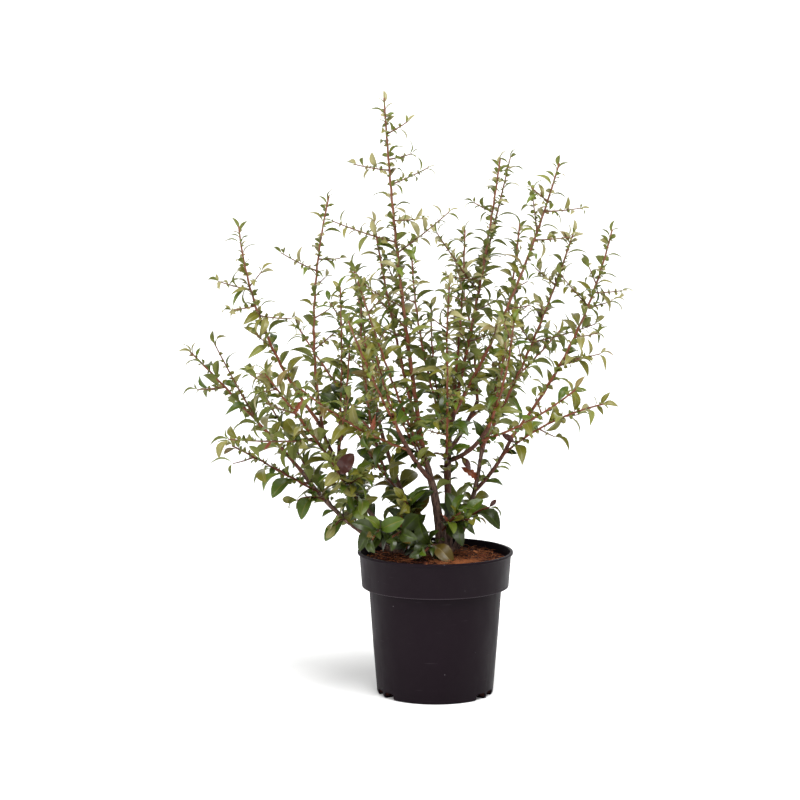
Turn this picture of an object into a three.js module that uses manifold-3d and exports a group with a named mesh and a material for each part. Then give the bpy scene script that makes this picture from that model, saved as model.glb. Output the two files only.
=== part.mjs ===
// A young flowering quince shrub in a round nursery pot: many thin stems, each mass of leaves a solid
// of its own. Millimetres, +Z up. The origin is the middle of the pot's flat underside, +X is to the
// right and +Y to the back.

import * as THREE from 'three';
import { mergeVertices } from 'three/addons/utils/BufferGeometryUtils.js';
import Module from 'manifold-3d';

const wasm = await Module();
wasm.setup();

// Pot: a thin moulded wall with a deep collar, a rolled lip, and pairs of drain notches in its foot
const POT_HEIGHT = 203;
const POT_LIP_RADIUS = 110;
const POT_LIP_HEIGHT = 3.5;
const POT_LIP_ROUND = 1;
const POT_COLLAR_HEIGHT = 50;
const POT_COLLAR_TOP_RADIUS = 107.5;
const POT_COLLAR_FOOT_RADIUS = 104;
const POT_BODY_TOP_RADIUS = 94;
const POT_BASE_RADIUS = 82.5;
const POT_FOOT_ROUND = 3;
const POT_WALL = 1.8;
const POT_FLOOR = 2.4;
const POT_SIDES = 40;
const COLLAR_FOOT = POT_HEIGHT - POT_COLLAR_HEIGHT;
const NOTCH_TURNS = [-31, -151, 89];
const NOTCH_HALF_TURN = 8.5;
const NOTCH_WIDTH = 20;
const NOTCH_HEIGHT = 9;
const NOTCH_DEPTH = 9;

// Potting mix: flat round the stems, lower at the wall
const SOIL_HEIGHT = 196;
const SOIL_FLAT_RADIUS = 66;
const SOIL_EDGE_DROP = 7;

// Clearances
const SEAT_GAP = 0.3;
const LIMB_CLEARANCE = 1.6;
const MASS_CLEARANCE = 1.6;
const RIM_CLEARANCE = 3;
const RIM_INSIDE = POT_LIP_RADIUS - 12;
const FINEST_DETAIL = 0.02;
const PINCH_DISTANCES = [0.0001, 0.001, 0.01];

// Limbs
const GROUND = SOIL_HEIGHT + SEAT_GAP;
const LIMB_SIDES = 6;
const LIMB_STEPS = 6;
const ROOT_FLARE_HEIGHT = 14;
const ROOT_DEPTH = 12;
const ROOT_OVERLAP = 2;
const LYING_SHARE = 0.8;

// Stems, twigs and leaves of a mass
const STEM_STEP_LENGTH = 62;
const STEM_TIP_RADIUS = 0.9;
const TWIG_SIDES = 3;
const TWIG_STEPS = 2;
const TWIG_RADIUS = 1.25;
const TWIG_TIP_RADIUS = 0.8;
const TWIG_LENGTH = 66;
const TWIG_SHORTEST = 24;
const TWIG_TAPER = 0.7;
const TWIG_LEAST_SHARE = 0.7;
const TWIG_SCATTER = 0.6;
const TWIG_TEST_PLACES = [0.3, 0.5, 0.75, 1];
const TWIG_SPREAD = 62;
const TWIG_RISE = 0.2;
const TWIG_SAG = 0.02;
const TWIG_FIRST_NODE = 2;
const TWIG_EVERY = 6;
const TWIG_END = 0.86;
const NODE_STEP = 15;
const LOW_NODE_HEIGHT = 440;
const TIP_NODES_FROM = 0.8;
const LEAF_TRIES = 6;
const LEAF_RETRY_SHRINK = 0.93;
const TWIG_LEAF_STEP = 19;
const TWIG_LEAF_SETBACK = 0.35;
const TWIG_LEAF_SCATTER = 0.2;
const STEM_LEAF_SCATTER = 0.15;
const GOLDEN_TURN = 137.5;
const LEAF_LENGTH_LOW = 54;
const LEAF_LENGTH_HIGH = 31;
const LEAF_LOW_HEIGHT = 230;
const LEAF_HIGH_HEIGHT = 720;
const LEAF_SLENDERNESS_LOW = 0.46;
const LEAF_SLENDERNESS_HIGH = 0.38;
const LEAF_WIDEST = 0.46;
const LEAF_ARCH = 0.12;
const LEAF_KEEL = 0.035;
const LEAF_TEST_PLACE = 0.6;
const LEAF_SPREAD = 58;
const LEAF_END_SPREAD = 18;
const LEAF_ROLL = 50;
const LEAF_TIP_SHRINK = 0.4;
const END_LEAF_PLACE = 0.985;
const END_LEAF_SIZE = 0.6;
const SEEDS_PER_MASS = 1000;
const SHOOT_SEED = 900;
const MASS_TURN = 77;
const TURN_SCATTER = 30;

// Colours
const POT_COLOUR = 0x1d1c20;
const SOIL_COLOUR = 0x5b3423;
const OLD_WOOD_COLOUR = 0x4a3a35;
const YOUNG_WOOD_COLOUR = 0x6f4338;
const LEAF_LOW_COLOUR = 0x39572c;
const LEAF_HIGH_COLOUR = 0x6f8249;

// A limb from its foot on the ground, with the flare of that foot, and a limb that leaves another one
// at a place along it. bow is how far the limb's middle stands off the straight line, and radii are
// those of its two ends.
const fromGround = (from, tip, bow, radii, flare) => ({ from, tip, bow, radii, flare });
const fromLimb = (on, at, tip, bow, radii) => ({ on, at, tip, bow, radii, flare: 0 });

const LIMBS = {
  trunk_left: fromGround([9, -2], [-16, -12, 340], [5, 0, 0], [6.8, 3.4], 2.6),
  trunk_right: fromGround([19, 22], [21, 30, 378], [-2, 0, 0], [4.8, 2.8], 2),
  bough_right: fromGround([28, 37], [66, 20, 347], [6, 1, 0], [3.4, 2.2], 1.2),
  bough_left: fromGround([-11, 9], [-67, 25, 300], [9, -4, 6], [4.6, 2.7], 1.6),
  bough_front_left: fromGround([-38, -6], [-127, -35, 312], [-3, 2, -2], [3.2, 2.2], 1.4),
  bough_low_left: fromGround([-50, 12], [-189, 40, 309], [-8, -7, -8], [3.4, 2.2], 1.4),
  bough_centre: fromLimb('trunk_right', 0.45, [27, -2, 401], [-6, -2, -3], [3.2, 2.4]),
  bough_far_right: fromLimb('bough_right', 0.58, [108, 10, 364], [3, 0, -4], [2.5, 2.2]),
  bough_upper_left: fromLimb('bough_front_left', 0.82, [-165, -10, 389], [-3, 0, 0], [2.4, 2.1]),
  bough_back_left: fromLimb('bough_left', 0.72, [-78, 108, 362], [0, 6, -6], [2.9, 2.4]),
  bough_back_right: fromLimb('trunk_right', 0.8, [62, 108, 402], [0, 6, -6], [2.9, 2.4]),
  bough_front_centre: fromLimb('trunk_left', 0.76, [-52, -92, 386], [0, -6, -6], [3, 2.4]),
  bough_front_right: fromLimb('trunk_right', 0.72, [72, -88, 392], [4, -6, -6], [2.8, 2.4]),
};

// A mass of leaves: the limb that its stem leaves, where along that limb, its tip, its bow, the radius
// of its stem at the foot, and the side shoots that show apart from the rest. A side shoot has its place
// along the stem, its compass heading and its rise in degrees, and its length.
const leafyStem = (on, at, tip, bow, radius, shoots = []) => ({ on, at, tip, bow, radius, shoots });

const MASSES = {
  leaves_tall_left: leafyStem('trunk_left', 1, [-72, 5, 838], [-6, 6, 0], 2.7, [
    [0.57, -19, 33, 90], [0.6, -161, 13, 95], [0.66, -37, 0, 50], [0.76, 15, 18, 57],
    [0.8, -163, 4, 51], [0.83, 20, 7, 35], [0.9, -14, 25, 34], [0.36, -170, 44, 100],
    [0.45, 120, 40, 70],
  ]),
  leaves_inner_left: leafyStem('trunk_left', 0.84, [-107, -90, 591], [-3, -8, -2], 2),
  leaves_tall_right: leafyStem('bough_centre', 1, [168, -45, 749], [10, -3, -5], 2.1, [
    [0.71, -32, 0, 56], [0.74, 99, 54, 60], [0.82, -17, 0, 51], [0.86, -140, 27, 35],
  ]),
  leaves_tall_centre: leafyStem('trunk_right', 1, [91, 45, 754], [5, 2, 0], 2.3, [
    [0.5, -140, 44, 109], [0.55, -141, 0, 63], [0.6, 50, 66, 150], [0.8, 160, 20, 30],
  ]),
  leaves_centre_back: leafyStem('trunk_right', 0.86, [-33, 110, 613], [-10, 8, -4], 1.9),
  leaves_right: leafyStem('bough_right', 1, [192, -10, 656], [7, 3, -3], 1.9, [
    [0.5, 23, 7, 100], [0.76, -140, 28, 44],
  ]),
  leaves_right_back: leafyStem('bough_right', 0.86, [122, 110, 659], [5, 8, -3], 2),
  leaves_far_right: leafyStem('bough_far_right', 1, [247, 20, 655], [15, -15, -7], 2, [
    [0.4, -31, 6, 59], [0.66, -153, 41, 58], [0.72, -22, 0, 42], [0.76, 123, 50, 28],
  ]),
  leaves_low_right: leafyStem('bough_far_right', 0.7, [230, -68, 420], [-8, -9, 9], 1.7),
  leaves_left_back: leafyStem('bough_left', 1, [-104, 90, 562], [-14, -1, -3], 2.3),
  leaves_low_left_front: leafyStem('bough_front_left', 1, [-234, -90, 464], [-1, 3, 1], 1.9, [
    [0.36, -171, -4, 122], [0.84, 147, 17, 49],
  ]),
  leaves_upper_left: leafyStem('bough_upper_left', 1, [-275, 10, 660], [-20, 3, -8], 1.9, [
    [0.57, -29, -8, 53], [0.62, -148, -12, 39], [0.7, -161, 10, 47],
  ]),
  leaves_left_upright: leafyStem('bough_upper_left', 0.8, [-150, 45, 700], [-18, 18, -2], 1.8, [
    [0.69, -163, 22, 56], [0.74, 26, -6, 34],
  ]),
  leaves_left_front: leafyStem('bough_upper_left', 0.42, [-132, -62, 581], [4, -10, -1], 1.7),
  leaves_far_left: leafyStem('bough_low_left', 1, [-351, 80, 478], [2, 1, 1], 2.1, [
    [0.4, -157, 58, 123], [0.7, -162, -10, 41],
  ]),
  leaves_low_left: leafyStem('bough_low_left', 0.8, [-283, -40, 358], [3, -4, 0], 1.8),
  leaves_left_low_back: leafyStem('bough_low_left', 0.62, [-246, 120, 410], [0, 6, -6], 1.8),
  leaves_back_left: leafyStem('bough_back_left', 1, [-120, 212, 596], [0, 12, -4], 2.1),
  leaves_back_far_left: leafyStem('bough_back_left', 0.7, [-200, 165, 506], [0, 6, -6], 1.9),
  leaves_back_right: leafyStem('bough_back_right', 1, [30, 224, 606], [8, 10, -4], 2.1),
  leaves_back_far_right: leafyStem('bough_back_right', 0.7, [186, 178, 500], [0, 8, -8], 1.9),
  leaves_front_left: leafyStem('bough_front_centre', 1, [-118, -202, 546], [0, -12, -4], 2.1),
  leaves_front_far_left: leafyStem('bough_front_centre', 0.7, [-182, -168, 452], [0, -8, -8], 1.9),
  leaves_front_right: leafyStem('bough_front_right', 1, [100, -204, 546], [4, -12, -4], 2.1),
  leaves_front_far_right: leafyStem('bough_front_right', 0.7, [186, -164, 452], [0, -8, -8], 1.9),
  leaves_front_middle: leafyStem('bough_centre', 0.42, [14, -142, 486], [0, -8, -8], 2),
  leaves_front_low_left: leafyStem('bough_left', 0.86, [-118, -86, 400], [0, -4, -6], 2),
  leaves_low_front: leafyStem('bough_front_left', 0.66, [-142, -120, 346], [0, -4, -5], 1.8),
  leaves_inner_right: leafyStem('bough_centre', 0.72, [18, -58, 584], [-4, -5, -2], 1.9),
  tuft_right: leafyStem('bough_right', 0.3, [76, 4, 264], [0, 0, 3], 1.6),
  tuft_centre_front: leafyStem('trunk_left', 0.22, [34, -52, 266], [0, 0, 3], 1.6),
  tuft_rim_left: leafyStem('bough_front_left', 0.32, [-88, -100, 236], [0, 0, 8], 1.6),
  tuft_rim_middle: leafyStem('bough_left', 0.24, [-62, -84, 236], [0, 0, 8], 1.6),
  tuft_low_left: leafyStem('bough_low_left', 0.46, [-140, -22, 244], [0, 0, 6], 1.6),
  tuft_left: leafyStem('bough_low_left', 0.72, [-194, 4, 274], [0, 0, 5], 1.6),
  tuft_far_left: leafyStem('bough_low_left', 0.88, [-250, 30, 330], [0, -4, -4], 1.6),
  tuft_mid_left: leafyStem('bough_left', 0.42, [-46, -62, 286], [0, 0, 4], 1.6),
  tuft_foot_front: leafyStem('trunk_left', 0.1, [-16, -72, 214], [0, 0, 5], 1.5),
  tuft_back: leafyStem('trunk_right', 0.26, [44, 104, 266], [0, 0, 4], 1.6),
  tuft_right_front: leafyStem('trunk_right', 0.2, [50, -56, 256], [0, 0, 4], 1.6),
  tuft_back_left: leafyStem('bough_left', 0.34, [-58, 104, 270], [0, 0, 4], 1.6),
  tuft_low_back: leafyStem('bough_low_left', 0.38, [-128, 98, 272], [0, 0, 4], 1.6),
};

const UP = new THREE.Vector3(0, 0, 1);
const RIGHT = new THREE.Vector3(1, 0, 0);
const BACK = new THREE.Vector3(0, 1, 0);
const radians = THREE.MathUtils.degToRad;
const mix = THREE.MathUtils.lerp;
const vector = (place) => new THREE.Vector3(...place);

// Numbers between 0 and 1 that are the same each time for the same seed.
function seededNumbers(seed) {
  let state = seed >>> 0;
  return () => {
    state = (state + 0x6d2b79f5) >>> 0;
    let mixed = Math.imul(state ^ (state >>> 15), state | 1);
    mixed ^= mixed + Math.imul(mixed ^ (mixed >>> 7), mixed | 61);
    return ((mixed ^ (mixed >>> 14)) >>> 0) / 2 ** 32;
  };
}

// A limb, stem or twig: straight pieces along a curve from start to tip, whose middle stands off the
// straight line by bow, with the radius at each end and the flare of its foot.
function growthLine(start, tip, bow, radii, steps, flare = 0) {
  const middle = start.clone().add(tip).multiplyScalar(0.5);
  const curve = new THREE.QuadraticBezierCurve3(start, middle.addScaledVector(bow, 2), tip);
  const along = tip.clone().sub(start);
  const length = along.length();
  const sideways = Math.abs(along.x) / length > LYING_SHARE ? BACK : RIGHT;
  return { curve, points: curve.getPoints(steps), length, sideways, radii, steps, flare };
}

// The radius at a place along a line, with the flare that swells its foot.
function radiusAt(line, at) {
  const fromFoot = at * line.length;
  return mix(line.radii[0], line.radii[1], at) + line.flare * Math.exp(-fromFoot / ROOT_FLARE_HEIGHT);
}

function placeOn(line, at) {
  const piece = Math.min(Math.floor(at * line.steps), line.steps - 1);
  return line.points[piece].clone().lerp(line.points[piece + 1], at * line.steps - piece);
}

// The unit vector that stands square on direction, turned by an angle in degrees round it.
function squareTo(direction, sideways, turn) {
  const first = sideways.clone().addScaledVector(direction, -sideways.dot(direction)).normalize();
  const second = direction.clone().cross(first);
  const angle = radians(turn);
  return first.multiplyScalar(Math.cos(angle)).addScaledVector(second, Math.sin(angle));
}

// A direction that leaves the line at a place along it, spread degrees off the line.
function branchDirection(line, at, turn, spread) {
  const tangent = line.curve.getTangent(at);
  const outward = squareTo(tangent, line.sideways, turn);
  const angle = radians(spread);
  return tangent.multiplyScalar(Math.cos(angle)).addScaledVector(outward, Math.sin(angle));
}

function geometryFrom(positions, faces) {
  const geometry = new THREE.BufferGeometry();
  geometry.setAttribute('position', new THREE.Float32BufferAttribute(positions, 3));
  geometry.setIndex(faces);
  return geometry;
}

function solidFrom(geometry) {
  const bare = geometry.clone();
  bare.deleteAttribute('normal');
  bare.deleteAttribute('uv');
  const merged = mergeVertices(bare);
  const vertProperties = new Float32Array(merged.attributes.position.array);
  const triVerts = new Uint32Array(merged.index.array);
  return new wasm.Manifold(new wasm.Mesh({ numProp: 3, vertProperties, triVerts }));
}

function geometryOf(solid) {
  const mesh = solid.getMesh();
  return geometryFrom(Array.from(mesh.vertProperties), Array.from(mesh.triVerts));
}

// A round bar along a line. swell adds to the radius, stretch lengthens the far end, and a pointed
// bar ends in a tip.
function bar(line, sides, { swell = 0, stretch = 0, pointed = false } = {}) {
  const { steps } = line;
  const positions = [];
  const faces = [];
  const ringCount = pointed ? steps : steps + 1;
  for (let ring = 0; ring < ringCount; ring += 1) {
    const at = ring / steps;
    const centre = line.points[ring].clone();
    const tangent = line.curve.getTangent(at);
    if (ring === steps) centre.addScaledVector(tangent, stretch);
    const radius = radiusAt(line, at) + swell;
    for (let side = 0; side < sides; side += 1) {
      const outward = squareTo(tangent, line.sideways, (360 * side) / sides);
      positions.push(...centre.clone().addScaledVector(outward, radius).toArray());
    }
  }
  for (let ring = 1; ring < ringCount; ring += 1) {
    for (let side = 0; side < sides; side += 1) {
      const next = (side + 1) % sides;
      const [a, b] = [(ring - 1) * sides + side, (ring - 1) * sides + next];
      faces.push(a, b, b + sides, a, b + sides, a + sides);
    }
  }
  const last = (ringCount - 1) * sides;
  for (let side = 1; side < sides - 1; side += 1) {
    faces.push(0, side + 1, side);
    if (!pointed) faces.push(last, last + side, last + side + 1);
  }
  if (pointed) {
    positions.push(...line.points[steps].toArray());
    for (let side = 0; side < sides; side += 1) {
      faces.push(last + side, last + ((side + 1) % sides), ringCount * sides);
    }
  }
  return solidFrom(geometryFrom(positions, faces));
}

// The five corners of a leaf: root, two sides and keel at its widest, and the tip. It is arched along
// its length, keeled under its midrib and rolled by an angle in degrees about its own length.
function leafCorners(root, direction, faceUp, roll, length, width) {
  const across = direction.clone().cross(faceUp).normalize().applyAxisAngle(direction, radians(roll));
  const normal = across.clone().cross(direction).normalize();
  const widest = root.clone().addScaledVector(direction, length * LEAF_WIDEST);
  widest.addScaledVector(normal, length * LEAF_ARCH);
  return [
    root,
    widest.clone().addScaledVector(across, width * 0.5),
    widest.clone().addScaledVector(across, -width * 0.5),
    widest.clone().addScaledVector(normal, -length * LEAF_KEEL),
    root.clone().addScaledVector(direction, length),
  ];
}

function leafSolid(corners) {
  const [root, right, left, keel, tip] = [0, 1, 2, 3, 4];
  const faces = [
    root, right, left, tip, left, right,
    root, keel, right, root, left, keel, tip, right, keel, tip, keel, left,
  ];
  return solidFrom(geometryFrom(corners.flatMap((corner) => corner.toArray()), faces));
}

// The limbs as lines, parents first. A limb with a foot starts under the ground and is cut there.
const limbLines = {};
for (const [name, limb] of Object.entries(LIMBS)) {
  const start = limb.from ? new THREE.Vector3(...limb.from, GROUND) : placeOn(limbLines[limb.on], limb.at);
  limbLines[name] = growthLine(start, vector(limb.tip), vector(limb.bow), limb.radii, LIMB_STEPS, limb.flare);
}

// The stem and the named side shoots of each mass. They are its skeleton: a point belongs to the
// mass whose skeleton is nearest.
const skeletons = {};
for (const [name, mass] of Object.entries(MASSES)) {
  const start = placeOn(limbLines[mass.on], mass.at);
  const tip = vector(mass.tip);
  const steps = Math.max(2, Math.round(start.distanceTo(tip) / STEM_STEP_LENGTH));
  const stem = growthLine(start, tip, vector(mass.bow), [mass.radius, STEM_TIP_RADIUS], steps);
  const shoots = mass.shoots.map(([at, heading, rise, length]) => {
    const foot = placeOn(stem, at);
    const direction = RIGHT.clone().applyAxisAngle(BACK, radians(-rise)).applyAxisAngle(UP, radians(heading));
    return twigLine(foot, direction, length);
  });
  skeletons[name] = { stem, shoots };
}

// A twig that leaves foot in a direction and curves up a little.
function twigLine(foot, direction, length) {
  const tip = foot.clone().addScaledVector(direction, length).addScaledVector(UP, length * TWIG_RISE * 0.5);
  const bow = UP.clone().multiplyScalar(-length * TWIG_SAG);
  return growthLine(foot, tip, bow, [TWIG_RADIUS, TWIG_TIP_RADIUS], TWIG_STEPS);
}

// Straight pieces of a line, for measuring distances to it.
function straightPieces(line, owner) {
  return line.points.slice(1).map((end, index) => ({
    piece: new THREE.Line3(line.points[index], end),
    radius: radiusAt(line, index / line.steps),
    owner,
  }));
}

const limbPieces = Object.entries(limbLines).flatMap(([name, line]) => straightPieces(line, name));
const stemPieces = Object.entries(skeletons).flatMap(([name, { stem, shoots }]) => (
  [stem, ...shoots].flatMap((line) => straightPieces(line, name))
));

function distanceTo(piece, point) {
  return piece.closestPointToPoint(point, true, new THREE.Vector3()).distanceTo(point);
}

// Whether a point is clear of the pot and the potting mix.
function isClearOfPot(point) {
  const fromAxis = Math.hypot(point.x, point.y);
  if (fromAxis < RIM_INSIDE) return point.z > SOIL_HEIGHT + RIM_CLEARANCE;
  return fromAxis > POT_LIP_RADIUS + RIM_CLEARANCE || point.z > POT_HEIGHT + RIM_CLEARANCE;
}

// Whether a point is in the mass's own space and clear of every limb.
function hasRoom(point, owner) {
  if (!isClearOfPot(point)) return false;
  const isTooNear = ({ piece, radius }) => distanceTo(piece, point) < radius + LIMB_CLEARANCE;
  if (limbPieces.some(isTooNear)) return false;
  let own = Infinity;
  let other = Infinity;
  for (const { piece, owner: pieceOwner } of stemPieces) {
    const distance = distanceTo(piece, point);
    if (pieceOwner === owner) own = Math.min(own, distance);
    else other = Math.min(other, distance);
  }
  return own + MASS_CLEARANCE < other;
}

// How far up the crown a height is, from 0 in the low leaves to 1 in the high ones.
function crownRise(height) {
  return THREE.MathUtils.clamp((height - LEAF_LOW_HEIGHT) / (LEAF_HIGH_HEIGHT - LEAF_LOW_HEIGHT), 0, 1);
}

// The length of a leaf and its width as a share of that. Leaves are larger and broader low down.
function leafLength(height) {
  const rise = crownRise(height);
  return {
    length: mix(LEAF_LENGTH_LOW, LEAF_LENGTH_HIGH, rise),
    slender: mix(LEAF_SLENDERNESS_LOW, LEAF_SLENDERNESS_HIGH, rise),
  };
}

// The points between neighbouring corners of a leaf, which are tested with the corners.
function leafTestPoints(corners) {
  const [root, right, left, keel, tip] = corners;
  const between = [[root, right], [root, left], [tip, right], [tip, left], [root, keel], [tip, keel]];
  return [right, left, keel, tip, ...between.map(([a, b]) => a.clone().lerp(b, LEAF_TEST_PLACE))];
}

// A leaf at a place along a line. Where it has no room it is tried again at the next turns, a little
// smaller each time, and is left out after the last one.
function leafAt(line, at, firstTurn, spread, size, roll, owner) {
  const root = placeOn(line, at);
  const faceUp = line.curve.getTangent(at).add(UP);
  const { length, slender } = leafLength(root.z);
  for (let attempt = 0; attempt < LEAF_TRIES; attempt += 1) {
    const direction = branchDirection(line, at, firstTurn + attempt * GOLDEN_TURN, spread);
    const reach = length * size * LEAF_RETRY_SHRINK ** attempt;
    const corners = leafCorners(root, direction, faceUp, roll, reach, reach * slender);
    if (leafTestPoints(corners).every((point) => hasRoom(point, owner))) return corners;
  }
  return null;
}

const leafRoll = (random) => LEAF_ROLL * (2 * random() - 1);

// The leaves along a twig, ending in one at its tip.
function twigLeaves(twig, random, owner) {
  const count = Math.max(1, Math.round(twig.length / TWIG_LEAF_STEP));
  const firstTurn = 360 * random();
  const leaves = [];
  for (let node = 1; node <= count; node += 1) {
    const at = (node - TWIG_LEAF_SETBACK) / count;
    const size = 1 - LEAF_TIP_SHRINK * at + TWIG_LEAF_SCATTER * random();
    const spread = node === count ? LEAF_END_SPREAD : LEAF_SPREAD;
    leaves.push(leafAt(twig, at, firstTurn + node * GOLDEN_TURN, spread, size, leafRoll(random), owner));
  }
  return leaves;
}

// Whether a node of a stem carries a leaf: every node low down and near the tip, and every second
// one between.
const carriesLeaf = (node, at, height) => node % 2 === 0 || height < LOW_NODE_HEIGHT || at > TIP_NODES_FROM;

// Everything that grows on one mass's stem by the rule: twigs at every few nodes, leaves at the rest.
function growMass(name, index) {
  const { stem, shoots } = skeletons[name];
  const twigs = [...shoots];
  const leaves = shoots.flatMap((shoot, number) => (
    twigLeaves(shoot, seededNumbers(index * SEEDS_PER_MASS + SHOOT_SEED + number), name)
  ));
  const nodeCount = Math.floor(stem.length / NODE_STEP);
  for (let node = 1; node < nodeCount; node += 1) {
    const random = seededNumbers(index * SEEDS_PER_MASS + node);
    const at = (node * NODE_STEP) / stem.length;
    const foot = placeOn(stem, at);
    const turn = index * MASS_TURN + node * GOLDEN_TURN + TURN_SCATTER * random();
    if (node % TWIG_EVERY === TWIG_FIRST_NODE && at < TWIG_END) {
      const direction = branchDirection(stem, at, turn, TWIG_SPREAD);
      const share = (1 - TWIG_TAPER * at) * (TWIG_LEAST_SHARE + TWIG_SCATTER * random());
      const twig = twigLine(foot, direction, Math.max(TWIG_SHORTEST, TWIG_LENGTH * share));
      if (TWIG_TEST_PLACES.every((place) => hasRoom(placeOn(twig, place), name))) {
        twigs.push(twig);
        leaves.push(...twigLeaves(twig, random, name));
      }
    } else if (carriesLeaf(node, at, foot.z)) {
      const size = 1 - LEAF_TIP_SHRINK * at ** 2 + STEM_LEAF_SCATTER * random();
      leaves.push(leafAt(stem, at, turn, LEAF_SPREAD, size, leafRoll(random), name));
    }
  }
  leaves.push(leafAt(stem, END_LEAF_PLACE, index * MASS_TURN, LEAF_END_SPREAD, END_LEAF_SIZE, 0, name));
  return { stem, twigs, leaves: leaves.filter(Boolean) };
}

// The largest of the bodies in a solid, so that a loose scrap is dropped.
function largestBody(solid) {
  return solid.decompose().sort((a, b) => b.volume() - a.volume())[0];
}

function grownLimb(name) {
  return bar(limbLines[name], LIMB_SIDES, { swell: SEAT_GAP, stretch: SEAT_GAP });
}

function limbSolid(name) {
  const { on } = LIMBS[name];
  const line = limbLines[name];
  if (on) return largestBody(bar(line, LIMB_SIDES).subtract(grownLimb(on)));
  const tangent = line.curve.getTangent(0);
  const under = line.points[0].clone().addScaledVector(tangent, -ROOT_DEPTH / tangent.z);
  const over = line.points[0].clone().addScaledVector(tangent, ROOT_OVERLAP);
  const footRadius = radiusAt(line, 0);
  const root = growthLine(under, over, new THREE.Vector3(), [footRadius, footRadius], 1);
  return bar(line, LIMB_SIDES).add(bar(root, LIMB_SIDES)).trimByPlane([0, 0, 1], GROUND);
}

// A place where two edges of a solid lie on each other, closer than a distance, or null.
function pinchedPlace(solid, distance) {
  const { vertProperties, triVerts } = solid.getMesh();
  const corner = (index) => new THREE.Vector3().fromArray(vertProperties, index * 3);
  const cellOf = (index) => corner(index).divideScalar(distance).round().toArray().join();
  const cells = Array.from({ length: vertProperties.length / 3 }, (_, index) => cellOf(index));
  const edges = new Map();
  for (let first = 0; first < triVerts.length; first += 3) {
    const ends = [triVerts[first], triVerts[first + 1], triVerts[first + 2]];
    if (new Set(ends.map((end) => cells[end])).size < 3) continue;
    ends.forEach((end, side) => {
      const edge = [cells[end], cells[ends[(side + 1) % 3]]].sort().join(' ');
      edges.set(edge, { count: (edges.get(edge)?.count ?? 0) + 1, place: corner(end) });
    });
  }
  return [...edges.values()].find(({ count }) => count !== 2)?.place ?? null;
}

// A mass as one solid. Where a leaf meets another piece edge on edge, it is left out.
function massSolid(name, index) {
  const { stem, twigs, leaves } = growMass(name, index);
  const bars = [stem, ...twigs].map((line) => bar(line, TWIG_SIDES, { pointed: true }));
  for (;;) {
    const fused = wasm.Manifold.union([...bars, ...leaves.map(leafSolid)]);
    const solid = largestBody(fused.subtract(grownLimb(MASSES[name].on))).simplify(FINEST_DETAIL);
    const place = PINCH_DISTANCES.map((distance) => pinchedPlace(solid, distance)).find(Boolean);
    if (!place) return solid;
    const nearness = (corners) => Math.min(...corners.map((corner) => corner.distanceTo(place)));
    leaves.sort((a, b) => nearness(b) - nearness(a)).pop();
  }
}

const circlePoint = (radius, height) => new THREE.Vector2(radius, height);

// The radius of the pot's outer wall at a height, under the collar and in it.
const bodyRadius = (height) => mix(POT_BASE_RADIUS, POT_BODY_TOP_RADIUS, height / COLLAR_FOOT);
const collarRadius = (height) => (
  mix(POT_COLLAR_FOOT_RADIUS, POT_COLLAR_TOP_RADIUS, (height - COLLAR_FOOT) / POT_COLLAR_HEIGHT)
);

function potSolid() {
  const lipFoot = POT_HEIGHT - POT_LIP_HEIGHT;
  const profile = [
    circlePoint(0, 0),
    circlePoint(bodyRadius(0) - POT_FOOT_ROUND, 0),
    circlePoint(bodyRadius(0), POT_FOOT_ROUND),
    circlePoint(bodyRadius(COLLAR_FOOT), COLLAR_FOOT),
    circlePoint(POT_COLLAR_FOOT_RADIUS, COLLAR_FOOT),
    circlePoint(collarRadius(lipFoot), lipFoot - POT_LIP_ROUND),
    circlePoint(POT_LIP_RADIUS, lipFoot),
    circlePoint(POT_LIP_RADIUS, POT_HEIGHT - POT_LIP_ROUND),
    circlePoint(POT_LIP_RADIUS - POT_LIP_ROUND, POT_HEIGHT),
    circlePoint(collarRadius(POT_HEIGHT) - POT_WALL, POT_HEIGHT),
    circlePoint(collarRadius(COLLAR_FOOT) - POT_WALL, COLLAR_FOOT + POT_WALL),
    circlePoint(bodyRadius(COLLAR_FOOT) - POT_WALL, COLLAR_FOOT + POT_WALL),
    circlePoint(bodyRadius(POT_FLOOR) - POT_WALL, POT_FLOOR),
    circlePoint(0, POT_FLOOR),
  ];
  let pot = solidFrom(new THREE.LatheGeometry(profile, POT_SIDES).rotateX(Math.PI / 2));
  for (const turn of NOTCH_TURNS.flatMap((middle) => [middle - NOTCH_HALF_TURN, middle + NOTCH_HALF_TURN])) {
    const cutter = new THREE.BoxGeometry(NOTCH_DEPTH, NOTCH_WIDTH, 2 * NOTCH_HEIGHT);
    cutter.translate(POT_BASE_RADIUS, 0, 0);
    cutter.rotateZ(radians(turn));
    pot = pot.subtract(solidFrom(cutter));
  }
  return pot;
}

function soilSolid() {
  const inside = POT_WALL + 2 * SEAT_GAP;
  const edge = SOIL_HEIGHT - SOIL_EDGE_DROP;
  const profile = [
    circlePoint(0, POT_FLOOR + SEAT_GAP),
    circlePoint(bodyRadius(POT_FLOOR) - inside, POT_FLOOR + SEAT_GAP),
    circlePoint(bodyRadius(COLLAR_FOOT) - inside, COLLAR_FOOT + POT_WALL + SEAT_GAP),
    circlePoint(collarRadius(COLLAR_FOOT) - inside, COLLAR_FOOT + POT_WALL + SEAT_GAP),
    circlePoint(collarRadius(edge) - inside, edge),
    circlePoint(SOIL_FLAT_RADIUS, SOIL_HEIGHT),
    circlePoint(0, SOIL_HEIGHT),
  ];
  return solidFrom(new THREE.LatheGeometry(profile, POT_SIDES).rotateX(Math.PI / 2));
}

const group = new THREE.Group();

function addPart(name, solid, colour, roughness) {
  const material = new THREE.MeshStandardMaterial({ color: colour, roughness, metalness: 0 });
  const mesh = new THREE.Mesh(geometryOf(solid), material);
  mesh.name = name;
  group.add(mesh);
}

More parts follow.
